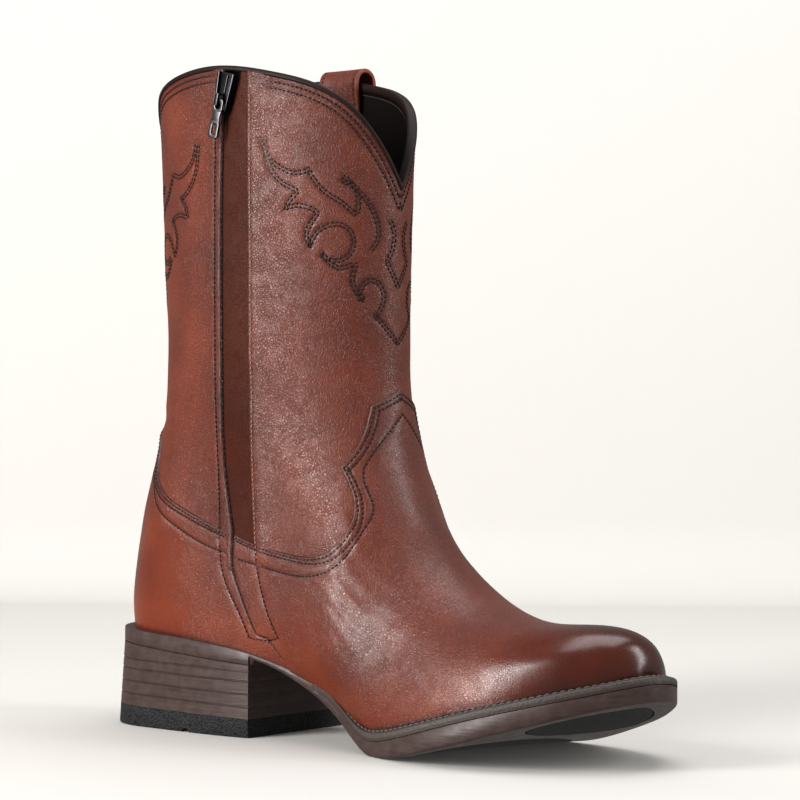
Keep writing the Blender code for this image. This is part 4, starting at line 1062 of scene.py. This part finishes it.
# VAMP
# Smooth leather from the toe to a pointed tongue on the shin, over the quarters, with two
# rows of stitches at its edge and a third that follows inside them.
VAMP_EDGE = (
    ((85.4, 90.6), (92.5, 88.4), (112.7, 84.3), (125.9, 82.7), (134.8, 83.2), (143.4, 86.8),
     (148.6, 94.1), (149.8, 102.8), (147.0, 111.8), (140.8, 121.5)),
    ((140.8, 121.5), (145.4, 130.0), (147.4, 139.0), (147.8, 148.6)),
    ((147.8, 148.6), (150.4, 151.2)),
)
VAMP_THIRD_ROW = (
    ((88.0, 79.6), (106.3, 76.4), (119.7, 74.4), (132.8, 74.2), (143.6, 77.0), (151.3, 84.6),
     (155.2, 95.7), (155.0, 105.7), (150.6, 115.0), (149.4, 121.0)),
    ((149.4, 121.0), (151.6, 130.0), (152.8, 137.0)),
)
VAMP_PEAK, VAMP_THIRD_PEAK = 155.5, 144.6


def tongue_halves(table, peak_z):
    """A line on the vamp from the zip to its peak on the front line, and its mirror image."""
    runs = [side_run(run, INNER) for run in table]
    runs.append([runs[-1][-1], (0.5, float(level_at(0.5, peak_z)))])
    return runs, [mirrored(run)[::-1] for run in reversed(runs)]


inner_half, outer_half = tongue_halves(VAMP_EDGE, VAMP_PEAK)
vamp_border = closed(
    *inner_half, *outer_half[:-1], outer_half[-1][:-1] + [outer_seam[0]], outer_seam,
    foot_run(outer_seam[-1][0], lower_seam[-1][0], 300), lower_seam[::-1],
    [lower_seam[0], flap_foot[0]], flap_foot)
vamp_edge_line = smooth_line(inner_half + outer_half)
tongue_rows = [shifted(vamp_edge_line, -away) for away in EDGE_ROWS]
tongue_rows.append(smooth_line(sum(tongue_halves(VAMP_THIRD_ROW, VAMP_THIRD_PEAK), [])))
front_foot_row = smooth_line([zip_line(FRONT_SEAM, 45.5, 86.0, 0.3)])
vamp = leather_sheet("vamp", vamp_border, 1.6, foot_leather, paint_foot,
                     seams=tongue_rows + [front_foot_row, foot_cross_row], edge=1.2,
                     thickness=1.6, pitch=2.1)
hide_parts("vamp")
stitching("tongue_stitches", tongue_rows, 1.45, shaft_thread)
stitching("front_foot_stitches", [front_foot_row, foot_cross_row], 1.5, shaft_thread)

# ZIP
# A coil zip on a black tape, closed up to the collar. A darker flap sewn under the front
# quarter covers it and lies against the back quarter's folded edge.
flap_leather = leather("dark flap leather", (0.09, 0.015, 0.003), (0.055, 0.009, 0.002),
                       DARK_BROWN, 1.1, 0.3, 0.1, 0.45, 0.35, wax=0.3, shine=0.2)
flap_front = np.array(zip_line(FRONT_SEAM, 84.0, 290.0, 2.5))
flap_rear = np.array(zip_line(CLOSING, 84.0, 272.0, ZIP_SHUT))
# the flap's top is cut back round the slider
flap_top = side_run(((82.8, 274.0), (86.8, 279.5), (90.2, 290.0), (92.6, 296.0)), INNER)
flap_border = closed(flap_front, collar_run(flap_front[-1, 0], flap_top[-1][0], 0.5, 12),
                     flap_top[::-1], flap_rear[::-1], [flap_rear[0], flap_front[0]])


def paint_flap(places, points, from_edge, from_seam):
    return {"wax": np.full(len(places), 0.4), "polish": np.full(len(places), 0.3)}


flap = leather_sheet("zip_flap", flap_border, 0.95, flap_leather, paint_flap, edge=0.9,
                     thickness=0.9)
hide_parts("zip_flap")

tape_cloth, tree, shader = new_material("zip tape", (0.012, 0.011, 0.011), 0.8)
weave = node(tree, "ShaderNodeTexWave", {"Vector": own_places(tree), "Scale": 500.0, "Distortion": 1.0})
add_bump(tree, shader, weave.outputs["Fac"], 0.0002)
gunmetal, tree, shader = new_material("gunmetal", (0.06, 0.06, 0.065), 0.28, 1.0)
scratches = ranged(tree, noise(tree, 900.0, 3.0), 0.3, 0.7, 0.2, 0.4)
tree.links.new(scratches, shader.inputs["Roughness"])
TAPE_ACROSS = (-5.5, -2.0, 2.0, 5.5)
tape_z = np.linspace(47.0, 293.5, 150)
tape_points = []
for z in tape_z:
    x = float(read(ZIP_LINES, CLOSING, z)[0])
    tape_points += [on_last(spot(x + aside, z, INNER), 0.12) for aside in TAPE_ACROSS]
add_piece("zip_tape", tape_points, quads(len(tape_z), len(TAPE_ACROSS), turned=True), tape_cloth)
COIL_PITCH, COIL_REACH = 1.3, 0.6
COIL_BLOCK = ((-1.2, -0.45), (1.2, -0.45), (1.2, 0.45), (-1.2, 0.45))
block = [(0, 3, 2, 1), (4, 5, 6, 7)] + quads(2, 4, close_columns=True, turned=True)
coil_points, coil_faces = [], []
for i, z in enumerate(np.arange(268.0, 47.0, -COIL_PITCH)):
    x = float(read(ZIP_LINES, CLOSING, z)[0])
    reach = COIL_REACH if i % 2 else -COIL_REACH
    coil_faces += numbered(block, len(coil_points))
    for out in (0.15, 0.75):
        coil_points += [on_last(spot(x + aside + reach, z + up, INNER), out)
                        for aside, up in COIL_BLOCK]
coil = add_piece("zip_teeth", coil_points, coil_faces, gunmetal)
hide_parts("zip_chain")

# The slider stands at the top of the closed zip: a dark body between two rails, with a
# crown from which the pull tab hangs. The tab swings on the crown.
# sizes across, along (up the zip) and out from the leather
SLIDER_TILT = math.radians(14.0)
SLIDER_OUT = 1.8
SLIDER_THICKNESS = 2.6
PULL_OUT = SLIDER_OUT + SLIDER_THICKNESS + 1.0


def slider_axes():
    place = np.array(spot(84.3, 283.5, INNER))
    origin = on_grid(FACE, *place)
    out = on_grid(NORMAL, *place)
    up = np.array([0.0, 0.0, 1.0])
    up = up - out * (up @ out)
    up /= np.linalg.norm(up)
    along = up * math.cos(SLIDER_TILT) + np.cross(up, out) * math.sin(SLIDER_TILT)
    return origin, np.cross(along, out), along, out


slider_origin, slider_across, slider_along, slider_outward = slider_axes()


def on_slider(outline, out):
    """The points of an outline (across, along) at a distance out from the leather."""
    return [slider_origin + slider_across * a + slider_along * b + slider_outward * out
            for a, b in outline]


def worked_over(made, merge=False, bevel=0.0, over=0.6, sharp=None):
    """Turns a piece's faces outward, eases its edges sharper than 'over' and shades it."""
    shape = bmesh.new()
    shape.from_mesh(made.data)
    if merge:
        bmesh.ops.remove_doubles(shape, verts=shape.verts, dist=0.01 * MM)
        bmesh.ops.dissolve_degenerate(shape, edges=shape.edges, dist=0.005 * MM)
    bmesh.ops.recalc_face_normals(shape, faces=shape.faces)
    if bevel:
        edges = [e for e in shape.edges if e.calc_face_angle(0) > over]
        bmesh.ops.bevel(shape, geom=edges, offset=bevel * MM, segments=2, affect="EDGES", profile=0.6)
    shape.to_mesh(made.data)
    shape.free()
    if sharp:
        made.data.shade_smooth()
        made.data.set_sharp_from_angle(angle=math.radians(sharp))


METAL_SHARP, SOLE_SHARP = 35, 38


def metal_part(name, plates, finish, body, bevel=0.35):
    """Plates of metal as outlines (across, along) with a low and a high face, edges eased."""
    points, faces = [], []
    for outline, low, high in plates:
        count = len(outline)
        solid = [tuple(reversed(range(count))), tuple(range(count, 2 * count))]
        solid += quads(2, count, close_columns=True, turned=True)
        faces += numbered(solid, len(points))
        points += on_slider(outline, low) + on_slider(outline, high)
    made = add_piece(name, points, faces, finish, body)
    worked_over(made, bevel=bevel, sharp=METAL_SHARP)
    return made


def capsule(half_low, half_high, bottom, top, corner=0.45, steps=8):
    """An outline with rounded corners at both ends."""
    outline_points = []
    for end, half, first in ((top, half_high, 0.0), (bottom, half_low, math.pi)):
        r = corner * half
        for t in np.linspace(first, first + math.pi, steps * 2):
            x = (half - r) * np.sign(math.cos(t)) + r * math.cos(t)
            outline_points.append((x, end + (r if first else -r) + r * math.sin(t)))
    return outline_points


top = SLIDER_OUT + SLIDER_THICKNESS
slider = metal_part("slider_body", [(capsule(3.3, 4.7, -5.0, 12.5), SLIDER_OUT - 1.2, top - 1.0)],
                    new_material("slider black", (0.015, 0.015, 0.016), 0.3, 0.6)[0], "boot")
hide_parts("zip_slider")
left_rail = [(-4.9, 12.3), (-3.7, 12.7), (-2.5, -4.2), (-3.5, -4.8)]
right_rail = [(3.9, 12.7), (4.9, 12.0), (3.5, -4.6), (2.7, -4.2)]
mid_rail = [(0.7, 11.6), (1.3, 11.6), (0.7, -2.0), (0.2, -2.0)]
metal_part("slider_rails", [(left_rail, top - 1.4, top + 0.3), (right_rail, top - 1.4, top),
                            (mid_rail, top - 1.4, top - 0.3)], gunmetal, "boot", 0.3)
# the crown's bar, and a short leg under each of its ends
crown = [(-1.1, 3.1), (0.5, 3.1), (0.5, -2.4), (-1.1, -2.4)]
crown_legs = [([(a, middle + 0.4 * b / 3) for a, b in crown], top - 1.2, top + 2.6)
              for middle in (-1.7, 2.6)]
metal_part("slider_crown", [(crown, top + 2.0, top + 2.9), *crown_legs], gunmetal, "boot", 0.3)

tab_grey, tree, shader = new_material("tab grey", (0.11, 0.11, 0.115), 0.3, 1.0)
scratches = ranged(tree, noise(tree, 700.0, 3.0), 0.3, 0.7, 0.22, 0.42)
tree.links.new(scratches, shader.inputs["Roughness"])

# half width, bottom and top of a frame of the tab and of its slot, height of its upper face
TAB_FRAMES = ((2.9, -5.2, 0.55, 1.5, -4.1, -0.7, 0.5), (2.75, -17.0, -9.4, 1.15, -15.6, -10.6, 0.6))
tab_points, tab_faces = [], []
for half, bottom, end, slot_half, slot_bottom, slot_end, upper in TAB_FRAMES:
    outer = capsule(half, half, bottom, end, 0.5, 6)
    slot = capsule(slot_half, slot_half, slot_bottom, slot_end, 0.9, 6)
    tab_faces += numbered(quads(4, len(outer), close_rows=True, close_columns=True), len(tab_points))
    for ring, out in ((outer, -0.5), (slot, -0.5), (slot, upper), (outer, upper)):
        tab_points += on_slider(ring, PULL_OUT + out)
tab = add_piece("pull_tab_frames", tab_points, tab_faces, tab_grey, "pull_tab")
worked_over(tab, bevel=0.22, over=0.9, sharp=METAL_SHARP)
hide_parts("zip_pull")
waist = [(-2.6, -4.9), (2.6, -4.9), (2.2, -7.2), (2.5, -9.8), (-2.5, -9.8), (-2.2, -7.2)]
metal_part("pull_tab_waist", [(waist, PULL_OUT - 0.45, PULL_OUT + 0.5)], tab_grey, "pull_tab", 0.25)

# SIDE SEAM STRIP
# A narrow strip of the shaft's leather over the outer side seam, sewn along both edges.
strip_edges = [[spot(SIDE_SEAM_X + aside, z, OUTER) for z in np.linspace(86.0, 284.0, 40)]
               for aside in (3.4, -3.4)]
strip_border = closed(strip_edges[0], [strip_edges[0][-1], strip_edges[1][-1]],
                      strip_edges[1][::-1], [strip_edges[1][0], strip_edges[0][0]])
strip_rows = [smooth_line([[spot(SIDE_SEAM_X + aside, z, OUTER) for z in np.linspace(88, 283, 40)]])
              for aside in (-2.0, 2.0)]
side_strip = leather_sheet("side_seam_strip_leather", strip_border, 1.4, shaft_leather,
                           paint_shaft, seams=strip_rows, edge=1.0, thickness=1.2, pitch=1.2)
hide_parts("side_seam_strip")
stitching("side_strip_stitches", strip_rows, 1.3, shaft_thread)

# COLLAR BINDING
# A thin dark leather tape folded over the shaft's top edge, as a rolled bead outside and a
# flat hem over the lining inside.
# distance outside the leather, height over the collar's edge
BINDING_SECTION = (
    (0.2, -1.5), (0.85, -1.35), (1.15, -0.7), (1.15, 0.1), (0.8, 0.75), (0.1, 1.05), (-1.2, 1.1),
    (-2.4, 1.05), (-3.1, 0.7), (-3.35, 0.0), (-3.3, -1.5), (-3.2, -3.0), (-2.6, -3.3))
binding_leather = leather("binding leather", (0.03, 0.012, 0.009), (0.018, 0.007, 0.005),
                          (0.01, 0.004, 0.003), 0.8, 0.12, 0.1, 0.45, 0.4, wax=0.5, shine=0.3)
binding_turns = np.linspace(0, 1, 721)[:-1]
collar = collar_level(binding_turns)
steep = steepness(np.gradient(np.r_[collar, collar[0]], binding_turns[1] * GIRTH)[:-1])
grid = []
for offset, rise in BINDING_SECTION:
    edge = on_last(np.stack([binding_turns, collar + min(rise, 0) * steep], axis=1), offset)
    edge[:, 2] += max(rise, 0)
    grid.append(edge)
points = np.stack(grid, axis=1).reshape(-1, 3)
faces = quads(len(binding_turns), len(BINDING_SECTION), close_rows=True)
binding = add_piece("collar_bead", points, faces, binding_leather,
                    attributes=leather_values(len(points), 0.5, 0.5))
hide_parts("collar_binding")
lining_row = np.stack([binding_turns, collar - 4.2 * steep], axis=1)
stitching("lining_stitches", [lining_row], -WALL - 0.15,
          new_material("grey thread", (0.09, 0.075, 0.065), 0.6)[0])

# PULL LOOP
# A strap of the shaft's leather over the outer side of the collar, sewn down inside and
# outside, with a row of stitches along both edges and raw lighter edges.
# distance outside the leather, height over the collar
LOOP_ROUTE = np.array((
    (-4.0, -42.0), (-4.0, -28.0), (-4.4, -16.0), (-5.2, -7.0), (-5.7, -0.8), (-4.4, 3.5),
    (-1.3, 5.6), (1.8, 5.2), (4.3, 2.6), (5.0, -2.0), (4.3, -8.0), (2.9, -15.0), (1.6, -23.0),
    (1.5, -32.0), (1.5, -42.0)))
LOOP_X, LOOP_WIDTH, LOOP_THICKNESS, LOOP_EDGE_Z = 88.5, 25.0, 2.0, 297.5
LOOP_ROW = 2.2
run = run_along(LOOP_ROUTE)
loop_path = spline(run, LOOP_ROUTE, np.linspace(0, run[-1], 110))
ahead = np.gradient(loop_path, axis=0)
ahead /= np.linalg.norm(ahead, axis=1)[:, None]
outward = np.stack([-ahead[:, 1], ahead[:, 0]], axis=1)
# share of the half width, share of the half thickness: round the strap's section
strap_section = [(-1, -0.55), (-0.985, -0.85), (-0.96, -1.0)]
strap_section += [(s, -1.0) for s in np.linspace(-0.9, 0.9, 19)]
strap_section += [(0.96, -1.0), (0.985, -0.85), (1, -0.55)]
strap_section += [(s, -t) for s, t in reversed(strap_section)]


def on_loop(place, offset, rise):
    """A point of the loop over a place on the last, at a distance from it and a height."""
    turn, level = place
    point = on_last((turn, level + min(rise, 0)), offset)
    point[2] += max(rise, 0)
    return point


loop_places = {s: spot(LOOP_X + s * LOOP_WIDTH / 2, LOOP_EDGE_Z, OUTER) for s, _ in strap_section}
points, from_edge = [], []
for (offset, rise), (ox, oz) in zip(loop_path, outward):
    for s, t in strap_section:
        away = t * LOOP_THICKNESS / 2
        points.append(on_loop(loop_places[s], offset + ox * away, rise + oz * away))
        from_edge.append((1 - abs(s)) * LOOP_WIDTH / 2 + (1 - abs(t)) * 0.3)
from_edge = np.array(from_edge)
strap_values = leather_values(len(points), 0.5 - 0.6 * np.exp(-(from_edge / 0.5) ** 2), 0.2,
                              from_seam=np.abs(from_edge - LOOP_ROW) + 0.3)
strap = add_piece("pull_strap", points, quads(len(loop_path), len(strap_section), close_columns=True),
                  shaft_leather, attributes=strap_values)
worked_over(strap)
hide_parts("pull_loop")
stitch = quads(3, 5, close_columns=True, turned=True)
strap_stitches, strap_faces = [], []
for side in (-1, 1):
    place = spot(LOOP_X + side * (LOOP_WIDTH / 2 - LOOP_ROW), LOOP_EDGE_Z, OUTER)
    line = np.array([on_loop(place, offset + ox * 1.02, rise + oz * 1.02)
                     for (offset, rise), (ox, oz) in zip(loop_path[8:104], outward[8:104])])
    run = run_along(line)
    for start in np.arange(1.2, run[-1] - 1.2, 2.3):
        strap_faces += numbered(stitch, len(strap_stitches))
        for away, size in ((-0.8, 0.2), (0.0, 0.3), (0.8, 0.2)):
            centre = at_lengths(start + away, run, line)
            strap_stitches += [centre + size * np.array([math.cos(t), math.sin(t), 0])
                               for t in np.linspace(0, 2 * math.pi, 6)[:-1]]
add_piece("pull_strap_stitches", strap_stitches, strap_faces, shaft_thread)

# WELT
# A grey-brown strip round the forefoot, rising toward the upper, with a row of stitches in
# thick grey thread sunk along its middle.
WELT_THICKNESS = 3.0


def sole_line(x, side, inset):
    """Points (x, y) of the sole's edge on one side, moved inward."""
    sign = SIDE_SIGN[side]
    here, behind, before = (np.stack([at, sign * sole_side(at, side)], axis=1)
                            for at in (x, x - 0.05, x + 0.05))
    ahead = before - behind
    ahead[x < 0.06] = (0, sign)
    ahead[x > SOLE_LENGTH - 0.06] = (0, -sign)
    inward = np.stack([-ahead[:, 1], ahead[:, 0]], axis=1) * -sign
    inward /= np.linalg.norm(inward, axis=1)[:, None]
    distance = inset(x) if callable(inset) else np.full(len(x), float(inset))
    return here + inward * distance[:, None]


def stations(start, end, count=150):
    """Places along the sole, closer together at its ends."""
    angle = np.linspace(0, np.pi, count)
    x = SOLE_LENGTH * (1 - np.cos(angle)) / 2
    return np.unique(np.r_[start, x[(x > start + 0.4) & (x < end - 0.4)], end])


def sole_ring(inset, x):
    inner, outer = sole_line(x, INNER, inset), sole_line(x, OUTER, inset)
    return np.r_[inner, outer[::-1]]


def welt_face(x):
    return np.maximum(read(LEDGE, 1, x) - 0.4, 0.8)


def welt_high(x):
    return sole_top(x) + rim_rise(x) - 0.45 * np.maximum(fade(x, RIM_FROM, RIM_TO), 0.3)


def welt_section(share, drop):
    """A line of the welt's sloping face, at a share of its width."""
    return (lambda x: welt_face(x) * share,
            lambda x: sole_top(x) + (welt_high(x) - sole_top(x)) * share - drop)


welt_levels = [(inset, lambda x, drop=drop: sole_top(x) - drop) for inset, drop in
               ((0.0, WELT_THICKNESS), (0.0, 1.9), (0.0, 1.6), (0.0, 0.5), (0.15, 0.15))]
welt_levels += [welt_section(share, 0.35 * math.exp(-((share - 0.5) / 0.11) ** 2))
                for share in np.linspace(0.1, 1.0, 16)]
welt_levels += [(lambda x: welt_face(x) + 1.6, welt_high)]
x = stations(127.5, SOLE_LENGTH, 220)
points = []
for inset, height in welt_levels:
    ring = sole_ring(inset, x)
    points.append(np.c_[ring, height(ring[:, 0])])
count = len(points[0])
faces = quads(len(points), count, turned=True)
welt_rubber, tree, shader = new_material("grey welt", (0.07, 0.055, 0.05), 0.55)
grit = noise(tree, 900.0, 4.0, Vector=own_places(tree))
grey = mixed(tree, grit, (0.03, 0.022, 0.02), (0.13, 0.11, 0.1))
grey_share = node(tree, "ShaderNodeAttribute", attribute_name="grey_share").outputs["Fac"]
tree.links.new(mixed(tree, grey_share, (0.055, 0.036, 0.032), grey), shader.inputs["Base Color"])
add_bump(tree, shader, grit, 0.0004)
# the welt's lowest band and its ends at the waist are brown as the sole's edge
grey_values = np.zeros((len(points), count))
grey_values[2:] = fade(np.array(points)[2:, :, 0], 150.0, 168.0)
welt = add_piece("welt_strip", np.concatenate(points), faces, welt_rubber,
                 attributes={"grey_share": grey_values.ravel()})
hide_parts("welt")
thread_ring = sole_ring(lambda x: welt_face(x) * 0.5, stations(138.0, SOLE_LENGTH, 400))
line = np.c_[thread_ring, welt_section(0.5, -0.02)[1](thread_ring[:, 0])]
run = run_along(line)
# share of a stitch's length, drop and share of its thickness
WELT_STITCH = ((-0.5, 0.5, 0.3), (-0.36, 0.1, 0.8), (0.0, -0.15, 1.0), (0.36, 0.1, 0.8), (0.5, 0.5, 0.3))
WELT_PITCH, WELT_STITCH_LENGTH, WELT_THREAD = 3.3, 2.7, 0.5
points, faces = [], []
for start in np.arange(2.0, run[-1] - 2.0, WELT_PITCH):
    faces += numbered(quads(len(WELT_STITCH), 6, close_columns=True, turned=True), len(points))
    for share, drop, size in WELT_STITCH:
        at = start + share * WELT_STITCH_LENGTH
        centre = at_lengths(at, run, line)
        ahead = at_lengths(at + 0.4, run, line) - centre
        aside = np.cross(ahead / np.linalg.norm(ahead), (0, 0, 1))
        for t in np.linspace(0, 2 * math.pi, 7)[:-1]:
            out = aside * math.cos(t) + np.array([0, 0, 1]) * (math.sin(t) - drop)
            points.append(centre + out * WELT_THREAD * size)
add_piece("welt_stitches", points, faces, new_material("grey welt thread", (0.11, 0.1, 0.09), 0.6)[0])

# OUTSOLE
# One moulded sole with a dark brown finished edge, and two wells underneath for the treads.
def lids(count, top):
    """Quads across a solid's lowest outline, and across its topmost, which starts at 'top'."""
    faces = []
    for i in range(count // 2 - 1):
        back, front = count - 1 - i, count - 2 - i
        faces += [(i, back, front, i + 1), (top + i, top + i + 1, top + front, top + back)]
    return faces


def plate(name, levels, finish, x, edges=None):
    """A closed solid of stacked outlines (inset, height), low to high."""
    points = []
    for inset, height in levels:
        ring = edges(inset) if edges else sole_ring(inset, x)
        z = height(ring[:, 0]) if callable(height) else np.full(len(ring), float(height))
        points.append(np.c_[ring, z])
    count = len(points[0])
    faces = quads(len(points), count, close_columns=True, turned=True)
    faces += lids(count, (len(points) - 1) * count)
    made = add_piece(name, np.concatenate(points), faces, finish)
    worked_over(made, merge=True, sharp=SOLE_SHARP)
    return made


sole_brown, tree, shader = new_material("finished sole edge", (0.06, 0.038, 0.034), 0.34, specular=0.4)
here = own_places(tree)
streaks = node(tree, "ShaderNodeMapping", {"Vector": here, "Scale": (60, 60, 900)})
lines = noise(tree, 1.0, 3.0, Vector=streaks.outputs[0])
speck = noise(tree, 240.0, 3.0, Vector=here)
tone = mixed(tree, lines, (0.038, 0.022, 0.02), (0.085, 0.058, 0.052))
tone = mixed(tree, ranged(tree, speck, 0.4, 0.7, 0.0, 0.35), tone, (0.1, 0.07, 0.06))
tree.links.new(tone, shader.inputs["Base Color"])
tree.links.new(ranged(tree, speck, 0.3, 0.7, 0.3, 0.46), shader.inputs["Roughness"])
add_bump(tree, shader, lines, 0.0002, 0.5)
# where the welt's back end lies, the sole's rim steps down by the welt's thickness
WELT_START, WELT_STEP = 127.0, 0.6


def sole_rim(x):
    return sole_top(x) - (WELT_THICKNESS + 0.1) * fade(x, WELT_START, WELT_START + WELT_STEP)


x = np.unique(np.r_[stations(0.0, SOLE_LENGTH, 200), HEEL_LENGTH, HEEL_LENGTH + 0.05,
                    WELT_START, WELT_START + WELT_STEP])
outsole = plate("outsole_body", [
    (1.3, sole_bottom), (0.7, lambda x: sole_bottom(x) + 0.12), (0.2, lambda x: sole_bottom(x) + 0.5),
    (0.0, lambda x: sole_bottom(x) + 1.2), (0.0, lambda x: sole_rim(x) - 0.5),
    (0.25, lambda x: sole_rim(x) - 0.1), (0.7, sole_rim), (6.0, sole_rim)], sole_brown, x)
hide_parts("outsole")

# HEEL
# A stacked block with a fine groove at each lift, and a granular black rubber top lift with
# a small half-round notch.
HEEL_FLARE, FLARE_TOP, FLARE_END = 2.4, 37.0, 80.0
LIFT_HEIGHT, LIFT_SLOPE = 8.4, 1.2
NOTCH_X, NOTCH_RADIUS, NOTCH_SIDES = 56.5, 2.1, 24
HEEL_GROOVES = (13.8, 19.5, 25.2, 29.6)


def flare(z):
    """How far the heel stands out at a height: most at the back, and less upward."""
    return lambda x: -HEEL_FLARE * (1 - z / FLARE_TOP) * fade(x, FLARE_END, 0.0)


def lift_line(z):
    """A lift's line: it rises a little from the breast to the heel's back."""
    return lambda x: z + LIFT_SLOPE * (1 - x / HEEL_LENGTH)


heel_x = stations(0.0, HEEL_LENGTH, 260)
levels = [(flare(LIFT_HEIGHT), lift_line(LIFT_HEIGHT))]
for z in HEEL_GROOVES:
    for step, depth in ((-0.45, 0.0), (-0.15, 0.45), (0.15, 0.45), (0.45, 0.0)):
        levels.append((lambda x, z=z, depth=depth: flare(z)(x) + depth, lift_line(z + step)))
levels.append((0.0, lambda x: sole_bottom(x) + 0.2))
stack = plate("heel_block", levels, sole_brown, heel_x)
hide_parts("heel_stack")
black_rubber, tree, shader = new_material("granular black rubber", (0.012, 0.012, 0.013), 0.55,
                                           specular=0.2)
here = own_places(tree)
grit = node(tree, "ShaderNodeTexVoronoi", {"Vector": here, "Scale": 1050.0}).outputs["Distance"]
grains = math_node(tree, "MULTIPLY", grit, noise(tree, 400.0, 2.0, Vector=here))
add_bump(tree, shader, grains, 0.0008)
tree.links.new(mixed(tree, grit, (0.05, 0.05, 0.052), (0.008, 0.008, 0.009)),
               shader.inputs["Base Color"])
lift = plate("top_lift", [
    (lambda x: flare(0)(x) + 0.8, 0.0), (lambda x: flare(0)(x) + 0.25, 0.2), (flare(0), 0.8),
    (flare(LIFT_HEIGHT), lift_line(LIFT_HEIGHT - 0.3)),
    (lambda x: flare(LIFT_HEIGHT)(x) + 0.3, lift_line(LIFT_HEIGHT))], black_rubber, heel_x)
notch_points = [(NOTCH_X + NOTCH_RADIUS * math.cos(t), y, NOTCH_RADIUS * math.sin(t) - 0.1)
                for y in (-60, 60) for t in np.linspace(0, 2 * math.pi, NOTCH_SIDES + 1)[:-1]]
notch_faces = [tuple(range(NOTCH_SIDES)), tuple(reversed(range(NOTCH_SIDES, 2 * NOTCH_SIDES)))]
notch_faces += quads(2, NOTCH_SIDES, close_columns=True, turned=True)


def carve(target, points, faces):
    """Cuts a shape out of a piece, and leaves no modifier or cutter behind."""
    mesh = bpy.data.meshes.new("cutter")
    mesh.from_pydata(((lean(points) - ORIGIN) * MM).tolist(), [], faces)
    cutter = bpy.data.objects.new("cutter", mesh)
    bpy.context.scene.collection.objects.link(cutter)
    worked_over(cutter)
    step = target.modifiers.new("cut", "BOOLEAN")
    step.operation, step.object, step.solver = "DIFFERENCE", cutter, "EXACT"
    bpy.context.view_layer.update()
    ready = target.evaluated_get(bpy.context.evaluated_depsgraph_get())
    result = bpy.data.meshes.new_from_object(ready)
    target.modifiers.clear()
    target.data = result
    target.data.set_sharp_from_angle(angle=math.radians(SOLE_SHARP))
    bpy.data.objects.remove(cutter)


carve(lift, notch_points, notch_faces)
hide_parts("heel_top_lift")

# TREADS
# Two pads of the heel's granular rubber let into wells in the underside, one under the ball
# and one under the toe.
# name, solid, start, end, distance inside the sole's edge, rounding of its ends
TREADS = (("ball_pad", "ball_tread", 152.0, 229.0, 9.0, 22.0),
          ("toe_pad", "toe_tread", 236.0, 282.0, 9.0, 20.0))
WELL_GAP, WELL_BELOW, WELL_DEPTH = 0.5, 3.0, 2.6
for name, cad_name, start, end, margin, ease in TREADS:
    def pad_edges(inset, start=start, end=end, margin=margin, ease=ease):
        angle = np.linspace(0, np.pi, 70)
        x = start + inset + (end - start - 2 * inset) * (1 - np.cos(angle)) / 2
        ends = rounding(x - start - inset, ease, 2.0) * rounding(end - inset - x, ease, 2.0)
        halves = [(sole_side(x, side) - margin - inset) * ends for side in (INNER, OUTER)]
        return np.r_[np.stack([x, -halves[0]], axis=1), np.stack([x, halves[1]], axis=1)[::-1]]
    ring = pad_edges(-WELL_GAP)
    well = [(*p, float(sole_bottom(p[0])[0]) + up) for up in (-WELL_BELOW, WELL_DEPTH) for p in ring]
    count = len(ring)
    walls = quads(2, count, close_columns=True, turned=True)
    carve(outsole, well, walls + lids(count, count))
    pad = plate(name, [(0.5, sole_bottom), (0.15, lambda x: sole_bottom(x) + 0.15),
                       (0.0, lambda x: sole_bottom(x) + 0.5), (0.0, lambda x: sole_bottom(x) + 2.2)],
                black_rubber, None, pad_edges)
    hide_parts(cad_name)
